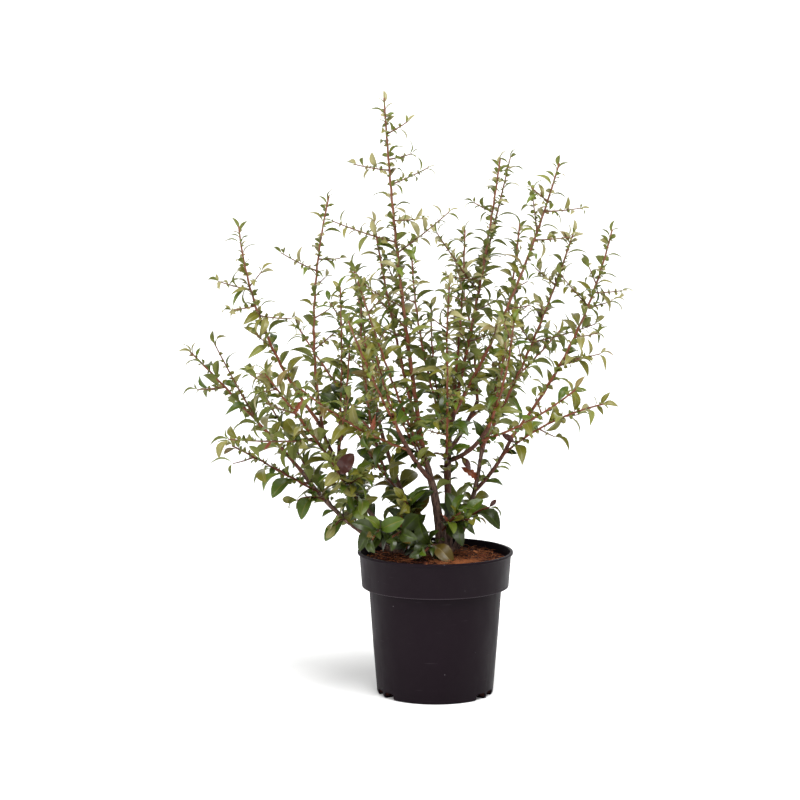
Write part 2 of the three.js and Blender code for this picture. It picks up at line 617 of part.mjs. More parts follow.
addPart('pot', potSolid(), POT_COLOUR, 0.45);
addPart('potting_mix', soilSolid(), SOIL_COLOUR, 0.95);
for (const [name, limb] of Object.entries(LIMBS)) {
  addPart(name, limbSolid(name), limb.from ? OLD_WOOD_COLOUR : YOUNG_WOOD_COLOUR, 0.8);
}
Object.entries(MASSES).forEach(([name, mass], index) => {
  const colour = new THREE.Color(LEAF_LOW_COLOUR);
  colour.lerp(new THREE.Color(LEAF_HIGH_COLOUR), crownRise(mass.tip[2]));
  addPart(name, massSolid(name, index + 1), colour, 0.5);
});

export default group;
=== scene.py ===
"""The looks of a young flowering quince shrub in a round nursery pot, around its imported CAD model.

Stems, twigs and leaves grow from the same limbs and by the same rule as the solids do, and the rule
is carried on here to finer twigs and to every leaf. Metres, +Z up. The origin is the middle of the
pot's flat underside, +X is to the right and +Y to the back.
"""

import math
from collections import namedtuple

import bpy
import numpy as np
from mathutils import Euler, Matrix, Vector, noise


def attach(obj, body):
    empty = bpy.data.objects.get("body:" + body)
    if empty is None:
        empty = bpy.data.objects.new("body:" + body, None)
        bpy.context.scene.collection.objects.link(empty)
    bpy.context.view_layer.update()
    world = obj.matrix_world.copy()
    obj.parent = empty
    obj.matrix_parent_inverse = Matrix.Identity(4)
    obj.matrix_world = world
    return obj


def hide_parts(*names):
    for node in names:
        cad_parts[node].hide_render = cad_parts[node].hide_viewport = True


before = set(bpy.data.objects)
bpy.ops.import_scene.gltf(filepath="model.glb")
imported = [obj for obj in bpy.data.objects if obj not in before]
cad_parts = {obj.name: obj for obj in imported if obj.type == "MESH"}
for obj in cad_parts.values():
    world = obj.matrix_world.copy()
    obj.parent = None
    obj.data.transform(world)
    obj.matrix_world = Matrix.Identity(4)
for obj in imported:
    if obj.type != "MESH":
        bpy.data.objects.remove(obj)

bl_info = {
    "name": "Potted Flowering Quince",
    "version": (1, 0, 0),
    "blender": (4, 5, 0),
    "location": "3D View > Sidebar > Quince",
    "description": "Builds the looks of a young flowering quince shrub in a nursery pot",
    "category": "Add Mesh",
}

UP = Vector((0, 0, 1))
RIGHT = Vector((1, 0, 0))
BACK = Vector((0, 1, 0))

# Pot, as in the CAD
POT_HEIGHT = 0.203
POT_LIP_RADIUS = 0.110
POT_LIP_HEIGHT = 0.0035
POT_LIP_ROUND = 0.001
POT_LIP_EASE = 0.0006
POT_EDGE_EASE = 0.0003
POT_INNER_EASE = 0.0005
POT_COLLAR_HEIGHT = 0.050
POT_COLLAR_TOP_RADIUS = 0.1075
POT_COLLAR_FOOT_RADIUS = 0.104
POT_BODY_TOP_RADIUS = 0.094
POT_BASE_RADIUS = 0.0825
POT_FOOT_ROUND = 0.003
POT_FOOT_BEND = 0.3
POT_WALL = 0.0018
POT_FLOOR = 0.0024
POT_CREASE = 35
COLLAR_FOOT = POT_HEIGHT - POT_COLLAR_HEIGHT
NOTCH_TURNS = (-31, -151, 89)
NOTCH_HALF_TURN = 8.5
NOTCH_WIDTH = 0.020
NOTCH_HEIGHT = 0.009
NOTCH_DEPTH = 0.009
NOTCH_REACH = 0.028
NOTCH_ROUND = 0.003
NOTCH_ROUND_STEPS = 3

# Potting mix
SOIL_HEIGHT = 0.196
SOIL_FLAT_RADIUS = 0.066
SOIL_EDGE_DROP = 0.007
SOIL_EDGE_RISE = 0.72
SOIL_RINGS = 34
SOIL_SIDES = 110
LUMP_SIZE = 0.016
GRIT_SIZE = 0.005
LUMP_SHARE = 0.6
GRIT_SHARE = 0.4

# Chips and fibres on the mix, and the rusty patch of fibres: least sizes and what chance adds to them
SCATTER_EDGE = 0.005
CHIP_LENGTHS = (0.0018, 0.0075)
CHIP_WIDTHS = (0.25, 0.5)
CHIP_HEIGHTS = (0.0006, 0.0008)
CHIP_LIFTS = (0.0006, 0.0012)
CHIP_TILT = 0.9
CHIP_JITTER = (0.55, 0.45)
CHIP_WIDTH_BALANCE = 1.5
CHIP_FINISHES = 3
CHIP_DARKNESS = 1.7
CHIP_CREASE = 30
FIBRE_EDGE = 0.008
FIBRE_LENGTHS = (0.006, 0.017)
FIBRE_RADII = (0.00028, 0.00016)
FIBRE_LIFT = 0.0008
FIBRE_RISE = 12
FIBRE_BOW = 0.22
FIBRE_BOW_RISE = 20
FIBRE_DARKNESS = 1.4
FIBRE_SIDES = 3
FIBRE_STEPS = 5
SOIL_PATCH = (0.032, -0.062)
SOIL_PATCH_RADIUS = 0.030
PATCH_EVERY = 4

# Clearances that leaves and twigs keep
SEAT_GAP = 0.0003
LIMB_CLEARANCE = 0.0012
RIM_CLEARANCE = 0.002
RIM_INSIDE = POT_LIP_RADIUS - 0.012
LEAF_STRAY = 0.016
LIMB_PIECES = 6
STEM_PIECES = 5

# Limbs and stems
GROUND = SOIL_HEIGHT + SEAT_GAP
ROOT_FLARE_HEIGHT = 0.014
LYING_SHARE = 0.8
STEM_TIP_RADIUS = 0.0012
NODE_STEP = 0.015
STEM_ZIGZAG = 0.0007
ZIGZAG_TURN = 30
COLLAR_SWELL = 0.0007
COLLAR_REACH = 0.006
MASS_TURN = 77
TURN_SCATTER = 30

# The thickness of limbs and of long stems with their bark, as a share of the solids
BARK_GROWTH = 1.2
STEM_GROWTH = 1.25

# Meshes of the wood: bark in relief on the limbs, and plain round stems and twigs
BARK_STEP = 0.0016
OLD_SIDES = 26
YOUNG_SIDES = 16
YOUNG_RELIEF = 0.5
FOOT_IN_MIX = 0.006
STEM_SIDES = 8
TWIG_SIDES = 5
SCAR_REACH = 0.0016
SCAR_HEIGHT = 0.5
GRAIN_STRETCH = 7
FINE_GRAIN = 2.3
GRAIN_SHIFT = (3.7, 1.3, 0)
ROOT_LOBES = 3
ROOT_LOBE_DEPTH = 0.45
LOBE_TURN = 50

# Thinner stems that rise beside the stems of masses in the middle of the crown
COMPANIONS = (
    "leaves_tall_left", "leaves_tall_centre", "leaves_inner_left", "leaves_left_back", "leaves_left_front",
    "leaves_centre_back", "leaves_right_back", "leaves_back_left", "leaves_back_right", "leaves_front_left",
    "leaves_front_right", "tuft_mid_left", "tuft_rim_middle",
)
COMPANION_REACH = 0.66
COMPANION_SCATTER = 0.16
COMPANION_SPREAD = 0.11
COMPANION_THICKNESS = 0.75
COMPANION_SEED = 400

# Spurs of a few leaves on the limbs
SPUR_STEP = 0.018
SPUR_FROM = 0.238
SPUR_SHARE = 0.45
FULL_SPURS = ("bough_right", "bough_far_right", "bough_low_left", "bough_front_left", "bough_left")
SPUR_LEAVES = (0.66, 0.45, 0.34)
SPUR_TURN = 110
SPUR_SCATTER = 20
SPUR_SEED = 300

# The foot of a stem that starts inside the crown is barer
BARE_FOOT = 0.24
BARE_FROM = 0.315

# Twigs
TWIG_RADIUS = 0.00115
TWIG_TIP_RADIUS = 0.0008
TWIG_LENGTH = 0.066
SHOOT_THICKNESS = 0.0145
SHOOT_RADIUS = 0.0019
SHOOT_TIP_SHARE = 0.5
TWIG_SHORTEST = 0.024
TWIG_TAPER = 0.7
TWIG_LEAST_SHARE = 0.7
TWIG_SCATTER = 0.6
TWIG_SPREAD = 62
TWIG_RISE = 0.2
TWIG_SAG = 0.02
TWIG_END = 0.86
TWIG_EVERY = 6
TWIG_FIRST_NODE = 2
TWIGS_UP_TO = 0.60
FINE_TWIG_NODE = 5
FINE_TWIG_SHARE = 0.72
TWIG_TEST_PLACES = (0.3, 0.5, 0.75, 1.0)
TWIG_MESH_STEP = 0.008

# Leaves: place, turn and roll
LEAF_TRIES = 6
LEAF_RETRY_SHRINK = 0.93
LEAF_TEST_PLACE = 0.75
LEAF_SINK = 0.5
TWIG_LEAF_STEP = 0.0125
TWIG_LEAF_STEP_HIGH = 0.012
TWIG_LEAF_SETBACK = 0.35
GOLDEN_TURN = 137.5
LEAF_TURN = 100
LEAF_SPREAD = 58
LEAF_SPREAD_HIGH = 70
LEAF_SPREAD_SCATTER = 16
LEAF_SPREAD_STEP = 14
LEAF_LIFT = 0.08
LEAF_ROLL = 48
LEAF_ROLL_HIGH = 28

# Leaves: number, size and form
LEAF_LOW_HEIGHT = 0.230
LEAF_HIGH_HEIGHT = 0.720
SPURS_UP_TO_RISE = 0.45
PAIRS_UP_TO_RISE = 0.85
LEAF_TIP_SHRINK = 0.3
FIRST_LEAF_HIGH = (0.75, 0.4)
NEXT_LEAF_HIGH = (0.35, 0.3)
TWIG_LEAF_SCATTER = 0.15
HIGH_TWIG_LEAF_SIZE = 0.7
HIGH_TWIG_END_SIZE = 0.7
SLENDER_FROM_RISE = 0.5
LEAST_WIDTH = 0.75
MOST_WIDTH = 1.12
LEAF_THICKNESS = 0.00035
FULL_ARCH_LENGTH = 0.03
LEAST_ARCH = 0.5
SMALL_LEAF_ARCH = 0.4
LEAF_CURL = 0.9
CRUMPLED_ARCH = 1.5
CRUMPLED_CURL = 6

# Leaves at the end of a stem, as turn, spread and roll, and at the end of a twig
END_LEAVES = ((0, 20, 35), (150, 38, -40), (250, 50, 40), (40, 58, -35), (300, 64, 45), (190, 68, -30))
TUFT_END_LEAVES = 2
END_LEAF_PLACE = 0.985
END_LEAF_STEP = 0.01
END_LEAF_SIZE = 0.55
END_LEAF_SHRINK = 0.03
LEAF_END_SPREAD = 18
TWIG_END_ROLL = 20
TWIG_END_TURN = 150
TWIG_END_SECOND = 0.6

# Tones: 0 is the darkest leaf and 1 the palest
LOWEST_TONE = 0.2
TONE_RISE = 0.67
TONE_CURVE = 1.2
HIGH_SCATTER_FADE = 0.65
END_TONE = 0.15
TWIG_TONE = 0.1

# Stipules and the small leaves between them
STIPULE_STEP = 0.014
STIPULE_SPREAD = 64
STIPULE_TURN = 80
STIPULE_ROLLS = (30, 75)
STIPULE_SIZES = (0.7, 0.5)
STIPULE_SHRINK = 0.3
STIPULE_WIDTH = 0.95
STIPULE_SINK = 0.7
STIPULE_STRAY = 0.02
STIPULE_ARCH = 0.12
STIPULE_TONE_SCATTER = 0.3
TWIG_STIPULES = 0.75
SMALL_LEAF_WIDTH = 0.55
SMALL_LEAF_SIZE = 0.34
SMALL_LEAF_SIZES = (0.7, 0.6)
SMALL_LEAF_SPREAD = 46
SMALL_LEAF_ROLL = 75
SMALL_LEAF_TONE_SCATTER = 0.2

# Seeds
SEEDS_PER_MASS = 1000
SHOOT_SEED = 900
SPRAY_SEED = 450
STIPULE_SEED = 500
LEAF_SEED = 70000
CHIP_SEED = 41

# Leaves that have turned or died: tint, place to the right of the pot's middle and above the ground,
# length, and width as a share of it
TURNED_LEAVES = (
    ("maroon", -0.122, 0.337, 0.032, 0.68),
    ("dead", -0.083, 0.412, 0.024, 0.45),
    ("dead", -0.195, 0.412, 0.020, 0.45),
    ("dead", -0.233, 0.345, 0.014, 0.45),
    ("dead", -0.129, 0.318, 0.022, 0.45),
    ("dead", -0.046, 0.247, 0.020, 0.6),
    ("maroon", 0.100, 0.354, 0.022, 0.4),
    ("maroon", 0.040, 0.322, 0.024, 0.4),
    ("dead", 0.012, 0.331, 0.018, 0.45),
    ("dead", 0.052, 0.300, 0.026, 0.5),
    ("dead", 0.008, 0.268, 0.018, 0.45),
    ("maroon", 0.093, 0.285, 0.015, 0.45),
)
TURNED_FACE = Vector((0.1, -1, 0.35))
TURNED_FLATNESS = 0.25
TURNED_DEPTH_SHARE = 0.15


def from_ground(foot, tip, bow, radii, flare):
    """A limb from its foot on the ground, with the flare of that foot."""
    return {"foot": foot, "on": None, "tip": tip, "bow": bow, "radii": radii, "flare": flare}


def from_limb(on, at, tip, bow, radii):
    """A limb that leaves another one at a place along it."""
    return {"on": on, "at": at, "tip": tip, "bow": bow, "radii": radii, "flare": 0.0}


def leafy_stem(on, at, tip, bow, radius, fullness=1, tone=0, shoots=()):
    """The stem of a mass of leaves: the limb that it leaves and where, its tip, its bow and its radius at
    the foot. Then how full the mass is, as a share of the rest, how much paler its leaves are than their
    height gives, and its side shoots as place along the stem, heading, rise and length."""
    return {
        "on": on, "at": at, "tip": tip, "bow": bow, "radius": radius, "fullness": fullness, "tone": tone,
        "shoots": shoots,
    }


# The limbs, parents first
LIMBS = {
    "trunk_left": from_ground(
        (0.009, -0.002), (-0.016, -0.012, 0.34), (0.005, 0, 0), (0.0068, 0.0034), 0.0026),
    "trunk_right": from_ground(
        (0.019, 0.022), (0.021, 0.03, 0.378), (-0.002, 0, 0), (0.0048, 0.0028), 0.002),
    "bough_right": from_ground(
        (0.028, 0.037), (0.066, 0.02, 0.347), (0.006, 0.001, 0), (0.0034, 0.0022), 0.0012),
    "bough_left": from_ground(
        (-0.011, 0.009), (-0.067, 0.025, 0.3), (0.009, -0.004, 0.006), (0.0046, 0.0027), 0.0016),
    "bough_front_left": from_ground(
        (-0.038, -0.006), (-0.127, -0.035, 0.312), (-0.003, 0.002, -0.002), (0.0032, 0.0022), 0.0014),
    "bough_low_left": from_ground(
        (-0.05, 0.012), (-0.189, 0.04, 0.309), (-0.008, -0.007, -0.008), (0.0034, 0.0022), 0.0014),
    "bough_centre": from_limb(
        "trunk_right", 0.45, (0.027, -0.002, 0.401), (-0.006, -0.002, -0.003), (0.0032, 0.0024)),
    "bough_far_right": from_limb(
        "bough_right", 0.58, (0.108, 0.01, 0.364), (0.003, 0, -0.004), (0.0025, 0.0022)),
    "bough_upper_left": from_limb(
        "bough_front_left", 0.82, (-0.165, -0.01, 0.389), (-0.003, 0, 0), (0.0024, 0.0021)),
    "bough_back_left": from_limb(
        "bough_left", 0.72, (-0.078, 0.108, 0.362), (0, 0.006, -0.006), (0.0029, 0.0024)),
    "bough_back_right": from_limb(
        "trunk_right", 0.8, (0.062, 0.108, 0.402), (0, 0.006, -0.006), (0.0029, 0.0024)),
    "bough_front_centre": from_limb(
        "trunk_left", 0.76, (-0.052, -0.092, 0.386), (0, -0.006, -0.006), (0.003, 0.0024)),
    "bough_front_right": from_limb(
        "trunk_right", 0.72, (0.072, -0.088, 0.392), (0.004, -0.006, -0.006), (0.0028, 0.0024)),
}

# The stems of the masses of leaves. A mass's tone is partly its leaves' own colour and partly painted light
# and shade: it makes some masses at the front and the inner left darker, as painted shade, and some low ones
# at the left paler, as painted light.
MASSES = {
    "leaves_tall_left": leafy_stem(
        "trunk_left", 1, (-0.072, 0.005, 0.838), (-0.006, 0.006, 0), 0.0027, 1.3, 0.05, (
            (0.57, -19, 33, 0.09), (0.6, -161, 13, 0.095), (0.66, -37, 0, 0.05), (0.76, 15, 18, 0.057),
            (0.8, -163, 4, 0.051), (0.83, 20, 7, 0.035), (0.9, -14, 25, 0.034), (0.36, -170, 44, 0.1),
            (0.45, 120, 40, 0.07),
        )),
    "leaves_inner_left": leafy_stem(
        "trunk_left", 0.84, (-0.107, -0.09, 0.591), (-0.003, -0.008, -0.002), 0.002, 0.5, -0.12),
    "leaves_tall_right": leafy_stem(
        "bough_centre", 1, (0.168, -0.045, 0.749), (0.01, -0.003, -0.005), 0.0021, 1.2, 0, (
            (0.71, -32, 0, 0.056), (0.74, 99, 54, 0.06), (0.82, -17, 0, 0.051), (0.86, -140, 27, 0.035),
        )),
    "leaves_tall_centre": leafy_stem(
        "trunk_right", 1, (0.091, 0.045, 0.754), (0.005, 0.002, 0), 0.0023, 1.95, 0.2, (
            (0.5, -140, 44, 0.109), (0.55, -141, 0, 0.063), (0.6, 50, 66, 0.15), (0.8, 160, 20, 0.03),
        )),
    "leaves_centre_back": leafy_stem(
        "trunk_right", 0.86, (-0.033, 0.11, 0.613), (-0.01, 0.008, -0.004), 0.0019, 1.1),
    "leaves_right": leafy_stem(
        "bough_right", 1, (0.192, -0.01, 0.656), (0.007, 0.003, -0.003), 0.0019, 1.4, 0.1, (
            (0.5, 23, 7, 0.1), (0.76, -140, 28, 0.044),
        )),
    "leaves_right_back": leafy_stem(
        "bough_right", 0.86, (0.122, 0.11, 0.659), (0.005, 0.008, -0.003), 0.002, 0.75, 0.08),
    "leaves_far_right": leafy_stem(
        "bough_far_right", 1, (0.247, 0.02, 0.655), (0.015, -0.015, -0.007), 0.002, 0.75, 0, (
            (0.4, -31, 6, 0.059), (0.66, -153, 41, 0.058), (0.72, -22, 0, 0.042), (0.76, 123, 50, 0.028),
        )),
    "leaves_low_right": leafy_stem(
        "bough_far_right", 0.7, (0.23, -0.068, 0.42), (-0.008, -0.009, 0.009), 0.0017, 0.4),
    "leaves_left_back": leafy_stem(
        "bough_left", 1, (-0.104, 0.09, 0.562), (-0.014, -0.001, -0.003), 0.0023, 0.5, -0.18),
    "leaves_low_left_front": leafy_stem(
        "bough_front_left", 1, (-0.234, -0.09, 0.464), (-0.001, 0.003, 0.001), 0.0019, 1.3, 0.3, (
            (0.36, -171, -4, 0.122), (0.84, 147, 17, 0.049),
        )),
    "leaves_upper_left": leafy_stem(
        "bough_upper_left", 1, (-0.275, 0.01, 0.66), (-0.02, 0.003, -0.008), 0.0019, 1, 0.02, (
            (0.57, -29, -8, 0.053), (0.62, -148, -12, 0.039), (0.7, -161, 10, 0.047),
        )),
    "leaves_left_upright": leafy_stem(
        "bough_upper_left", 0.8, (-0.15, 0.045, 0.7), (-0.018, 0.018, -0.002), 0.0018, 0.6, 0.05, (
            (0.69, -163, 22, 0.056), (0.74, 26, -6, 0.034),
        )),
    "leaves_left_front": leafy_stem(
        "bough_upper_left", 0.42, (-0.132, -0.062, 0.581), (0.004, -0.01, -0.001), 0.0017, 0.9, -0.2),
    "leaves_far_left": leafy_stem(
        "bough_low_left", 1, (-0.351, 0.08, 0.478), (0.002, 0.001, 0.001), 0.0021, 0.6, 0.1, (
            (0.4, -157, 58, 0.123), (0.7, -162, -10, 0.041),
        )),
    "leaves_low_left": leafy_stem(
        "bough_low_left", 0.8, (-0.283, -0.04, 0.358), (0.003, -0.004, 0), 0.0018, 0.2, 0.15),
    "leaves_left_low_back": leafy_stem(
        "bough_low_left", 0.62, (-0.246, 0.12, 0.41), (0, 0.006, -0.006), 0.0018, 1.5),
    "leaves_back_left": leafy_stem(
        "bough_back_left", 1, (-0.12, 0.212, 0.596), (0, 0.012, -0.004), 0.0021, 0.45),
    "leaves_back_far_left": leafy_stem(
        "bough_back_left", 0.7, (-0.2, 0.165, 0.506), (0, 0.006, -0.006), 0.0019, 0.75),
    "leaves_back_right": leafy_stem(
        "bough_back_right", 1, (0.03, 0.224, 0.606), (0.008, 0.01, -0.004), 0.0021, 0.8),
    "leaves_back_far_right": leafy_stem(
        "bough_back_right", 0.7, (0.186, 0.178, 0.5), (0, 0.008, -0.008), 0.0019, 1.1),
    "leaves_front_left": leafy_stem(
        "bough_front_centre", 1, (-0.118, -0.202, 0.546), (0, -0.012, -0.004), 0.0021, 0.3, -0.15),
    "leaves_front_far_left": leafy_stem(
        "bough_front_centre", 0.7, (-0.182, -0.168, 0.452), (0, -0.008, -0.008), 0.0019, 0.5, 0.05),
    "leaves_front_right": leafy_stem(
        "bough_front_right", 1, (0.1, -0.204, 0.546), (0.004, -0.012, -0.004), 0.0021, 0.33, -0.15),
    "leaves_front_far_right": leafy_stem(
        "bough_front_right", 0.7, (0.186, -0.164, 0.452), (0, -0.008, -0.008), 0.0019, 0.15),
    "leaves_front_middle": leafy_stem(
        "bough_centre", 0.42, (0.014, -0.142, 0.486), (0, -0.008, -0.008), 0.002, 0.5, -0.05),
    "leaves_front_low_left": leafy_stem(
        "bough_left", 0.86, (-0.118, -0.086, 0.4), (0, -0.004, -0.006), 0.002, 0.45, 0.15),
    "leaves_low_front": leafy_stem(
        "bough_front_left", 0.66, (-0.142, -0.12, 0.346), (0, -0.004, -0.005), 0.0018, 3.2, 0.12),
    "leaves_inner_right": leafy_stem(
        "bough_centre", 0.72, (0.018, -0.058, 0.584), (-0.004, -0.005, -0.002), 0.0019, 1.1),
    "tuft_right": leafy_stem("bough_right", 0.3, (0.076, 0.004, 0.264), (0, 0, 0.003), 0.0016, 0.25),
    "tuft_centre_front": leafy_stem(
        "trunk_left", 0.22, (0.034, -0.052, 0.266), (0, 0, 0.003), 0.0016, 1.7, -0.1),
    "tuft_rim_left": leafy_stem(
        "bough_front_left", 0.32, (-0.088, -0.1, 0.236), (0, 0, 0.008), 0.0016, 2.2, -0.3),
    "tuft_rim_middle": leafy_stem(
        "bough_left", 0.24, (-0.062, -0.084, 0.236), (0, 0, 0.008), 0.0016, 3.6, -0.3),
    "tuft_low_left": leafy_stem(
        "bough_low_left", 0.46, (-0.14, -0.022, 0.244), (0, 0, 0.006), 0.0016, 2.5, 0.3),
    "tuft_left": leafy_stem(
        "bough_low_left", 0.72, (-0.194, 0.004, 0.274), (0, 0, 0.005), 0.0016, 2.3, 0.35),
    "tuft_far_left": leafy_stem(
        "bough_low_left", 0.88, (-0.25, 0.03, 0.33), (0, -0.004, -0.004), 0.0016, 0.2),
    "tuft_mid_left": leafy_stem(
        "bough_left", 0.42, (-0.046, -0.062, 0.286), (0, 0, 0.004), 0.0016, 2.4, 0.15),
    "tuft_foot_front": leafy_stem(
        "trunk_left", 0.1, (-0.016, -0.072, 0.214), (0, 0, 0.005), 0.0015, 2.1, -0.25),
    "tuft_back": leafy_stem("trunk_right", 0.26, (0.044, 0.104, 0.266), (0, 0, 0.004), 0.0016),
    "tuft_right_front": leafy_stem("trunk_right", 0.2, (0.05, -0.056, 0.256), (0, 0, 0.004), 0.0016),
    "tuft_back_left": leafy_stem("bough_left", 0.34, (-0.058, 0.104, 0.27), (0, 0, 0.004), 0.0016, 3),
    "tuft_low_back": leafy_stem("bough_low_left", 0.38, (-0.128, 0.098, 0.272), (0, 0, 0.004), 0.0016, 2),
}


# Growth: the source's rule, written again

def seeded_numbers(seed):
    """Gives numbers between 0 and 1, the same ones each time for the same seed."""
    whole = 2 ** 32
    state = seed % whole
    while True:
        state = (state + 0x6D2B79F5) % whole
        mixed = (state ^ (state >> 15)) * (state | 1) % whole
        mixed ^= (mixed + (mixed ^ (mixed >> 7)) * (mixed | 61)) % whole
        yield (mixed ^ (mixed >> 14)) / whole


def mix(low, high, share):
    return low + (high - low) * share


def clamp(value, low=0.0, high=1.0):
    return max(low, min(high, value))


def at_random(size, random):
    """A value of a size that is given as its least value and what chance may add to it."""
    least, more = size
    return least + more * next(random)


def square_to(direction, sideways, turn):
    """The unit vector that stands square on direction, turned by an angle in degrees round it."""
    first = (sideways - direction * sideways.dot(direction)).normalized()
    second = direction.cross(first)
    angle = math.radians(turn)
    return first * math.cos(angle) + second * math.sin(angle)


class GrowthLine:
    """A limb, stem or twig: a curve from foot to tip, whose middle stands off the straight line by bow.
    It has a radius at each end, and may swell at the foot and swing a little from node to node."""

    def __init__(self, foot, tip, bow, radii, flare=0.0, flare_height=ROOT_FLARE_HEIGHT, zigzag=0.0):
        self.foot = foot
        self.tip = tip
        self.middle = (foot + tip) / 2 + 2 * bow
        along = tip - foot
        self.length = along.length
        self.sideways = BACK if abs(along.x) / self.length > LYING_SHARE else RIGHT
        self.radii = radii
        self.flare = flare
        self.flare_height = flare_height
        self.zigzag = zigzag

    def tangent(self, at):
        return ((self.middle - self.foot) * (1 - at) + (self.tip - self.middle) * at).normalized()

    def place(self, at):
        """The point at a share of the way along."""
        on_curve = self.foot * (1 - at) ** 2 + self.middle * (2 * at * (1 - at)) + self.tip * at ** 2
        if not self.zigzag:
            return on_curve
        node = at * self.length / NODE_STEP
        swing = (1 - 2 * abs(node % 2 - 1)) * math.sin(math.pi * clamp(at))
        return on_curve + square_to(self.tangent(at), self.sideways, ZIGZAG_TURN) * (self.zigzag * swing)

    def radius(self, at):
        return mix(*self.radii, at) + self.flare * math.exp(-at * self.length / self.flare_height)

    def branch(self, at, turn, spread):
        """A direction that leaves the line at a place along it, spread degrees off it."""
        tangent = self.tangent(at)
        angle = math.radians(spread)
        return tangent * math.cos(angle) + square_to(tangent, self.sideways, turn) * math.sin(angle)


def twig_line(foot, direction, length, radii=(TWIG_RADIUS, TWIG_TIP_RADIUS)):
    """A twig that leaves foot in a direction and curves up a little."""
    tip = foot + direction * length + UP * (length * TWIG_RISE * 0.5)
    return GrowthLine(foot, tip, UP * (-length * TWIG_SAG), radii, COLLAR_SWELL / 2, COLLAR_REACH / 2)


def heading_direction(heading, rise):
    """The direction at a compass heading from +X and a rise, in degrees."""
    heading, rise = math.radians(heading), math.radians(rise)
    level = math.cos(rise)
    return Vector((level * math.cos(heading), level * math.sin(heading), math.sin(rise)))


def limb_lines():
    """The limbs as lines, parents first."""
    lines = {}
    for name, limb in LIMBS.items():
        foot = lines[limb["on"]].place(limb["at"]) if limb["on"] else Vector((*limb["foot"], GROUND))
        lines[name] = GrowthLine(foot, Vector(limb["tip"]), Vector(limb["bow"]), limb["radii"], limb["flare"])
    return lines


def shoot_radii(length):
    """The radii of a side shoot: the longer it is, the thicker its foot."""
    radius = clamp(length * SHOOT_THICKNESS, TWIG_RADIUS, SHOOT_RADIUS)
    return radius, max(TWIG_TIP_RADIUS, radius * SHOOT_TIP_SHARE)


def companion_line(stem, random):
    """A thinner and shorter stem from the same foot, a little to one side."""
    along = stem.tip - stem.foot
    share = COMPANION_REACH + COMPANION_SCATTER * (next(random) - 0.5)
    aside = square_to(along.normalized(), stem.sideways, 360 * next(random))
    tip = stem.foot + (along + aside * (stem.length * COMPANION_SPREAD)) * share
    bow = (stem.middle - (stem.foot + stem.tip) / 2) / 2
    radii = (stem.radii[0] * COMPANION_THICKNESS, stem.radii[1])
    return GrowthLine(stem.foot, tip, bow * share, radii, COLLAR_SWELL, COLLAR_REACH, STEM_ZIGZAG)


def skeletons(limbs):
    """The stem and the named side shoots of each mass."""
    found = {}
    for name, mass in MASSES.items():
        foot = limbs[mass["on"]].place(mass["at"])
        growth = STEM_GROWTH if mass["shoots"] else 1
        radii = (mass["radius"] * growth, STEM_TIP_RADIUS)
        stem = GrowthLine(
            foot, Vector(mass["tip"]), Vector(mass["bow"]), radii, COLLAR_SWELL, COLLAR_REACH, STEM_ZIGZAG)
        shoots = [
            twig_line(stem.place(at), heading_direction(heading, rise), length, shoot_radii(length))
            for at, heading, rise, length in mass["shoots"]
        ]
        found[name] = (stem, shoots)
    return found


class Pieces:
    """Straight pieces of many lines, to measure how far points are from them."""

    def __init__(self, lines, steps):
        """Takes pairs of an owner's name and a line, and cuts each line into as many pieces as steps."""
        starts, ends, radii, owners = [], [], [], []
        for owner, line in lines:
            for step in range(steps):
                starts.append(line.place(step / steps))
                ends.append(line.place((step + 1) / steps))
                radii.append(line.radius(step / steps))
                owners.append(owner)
        self.starts = np.array(starts)
        self.along = np.array(ends) - self.starts
        self.squares = (self.along ** 2).sum(1)
        self.radii = np.array(radii)
        self.owners = np.array(owners)

    def distances(self, points):
        """The distance of every point from every piece."""
        offsets = points[:, None, :] - self.starts[None]
        share = np.clip((offsets * self.along[None]).sum(2) / self.squares, 0, 1)
        return np.linalg.norm(offsets - share[..., None] * self.along[None], axis=2)


class Space:
    """Where there is room to grow: clear of the pot, the mix and the limbs, and near the mass's own
    stem and shoots."""

    def __init__(self, limbs, masses):
        self.limbs = Pieces([("", line) for line in limbs.values()], LIMB_PIECES)
        lines = [(name, line) for name, (stem, shoots) in masses.items() for line in (stem, *shoots)]
        self.stems = Pieces(lines, STEM_PIECES)

    def has_room(self, points, owner, stray):
        """Whether all the points are clear, and nearer to the owner's stems than to others, but for
        stray metres."""
        points = np.array(points)
        from_axis = np.hypot(points[:, 0], points[:, 1])
        over_mix = (from_axis < RIM_INSIDE) & (points[:, 2] > SOIL_HEIGHT + RIM_CLEARANCE)
        if not (over_mix | (points[:, 2] > POT_HEIGHT + RIM_CLEARANCE)).all():
            return False
        if (self.limbs.distances(points) < self.limbs.radii + LIMB_CLEARANCE).any():
            return False
        if not owner:
            return True
        distances = self.stems.distances(points)
        own = self.stems.owners == owner
        return bool((distances[:, own].min(1) < distances[:, ~own].min(1) + stray).all())


Leaf = namedtuple("Leaf", "root direction face_up roll length width tone")


def crown_rise(height):
    """How far up the crown a height is, from 0 in the low leaves to 1 in the high ones."""
    return clamp((height - LEAF_LOW_HEIGHT) / (LEAF_HIGH_HEIGHT - LEAF_LOW_HEIGHT))


def leaf_tone(height, owner):
    """The usual tone of the leaves of a mass, or of a limb with no owner: paler towards the top."""
    # A mass's tone is partly its leaves' own colour, partly painted light and shade
    mass_tone = MASSES[owner]["tone"] if owner else 0
    return LOWEST_TONE + TONE_RISE * crown_rise(height) ** TONE_CURVE + mass_tone


def spray_tone(height, owner, scatter, random):
    """The tone of a spray: it differs from the next one's, less so towards the top."""
    fade = 1 - HIGH_SCATTER_FADE * crown_rise(height)
    return leaf_tone(height, owner) + scatter * fade * (next(random) - 0.5)


def leaf_frame(direction, face_up, roll):
    """The across and upward directions of a leaf."""
    across = direction.cross(face_up).normalized()
    normal = across.cross(direction)
    angle = math.radians(roll)
    across = across * math.cos(angle) - normal * math.sin(angle)
    return across, across.cross(direction)


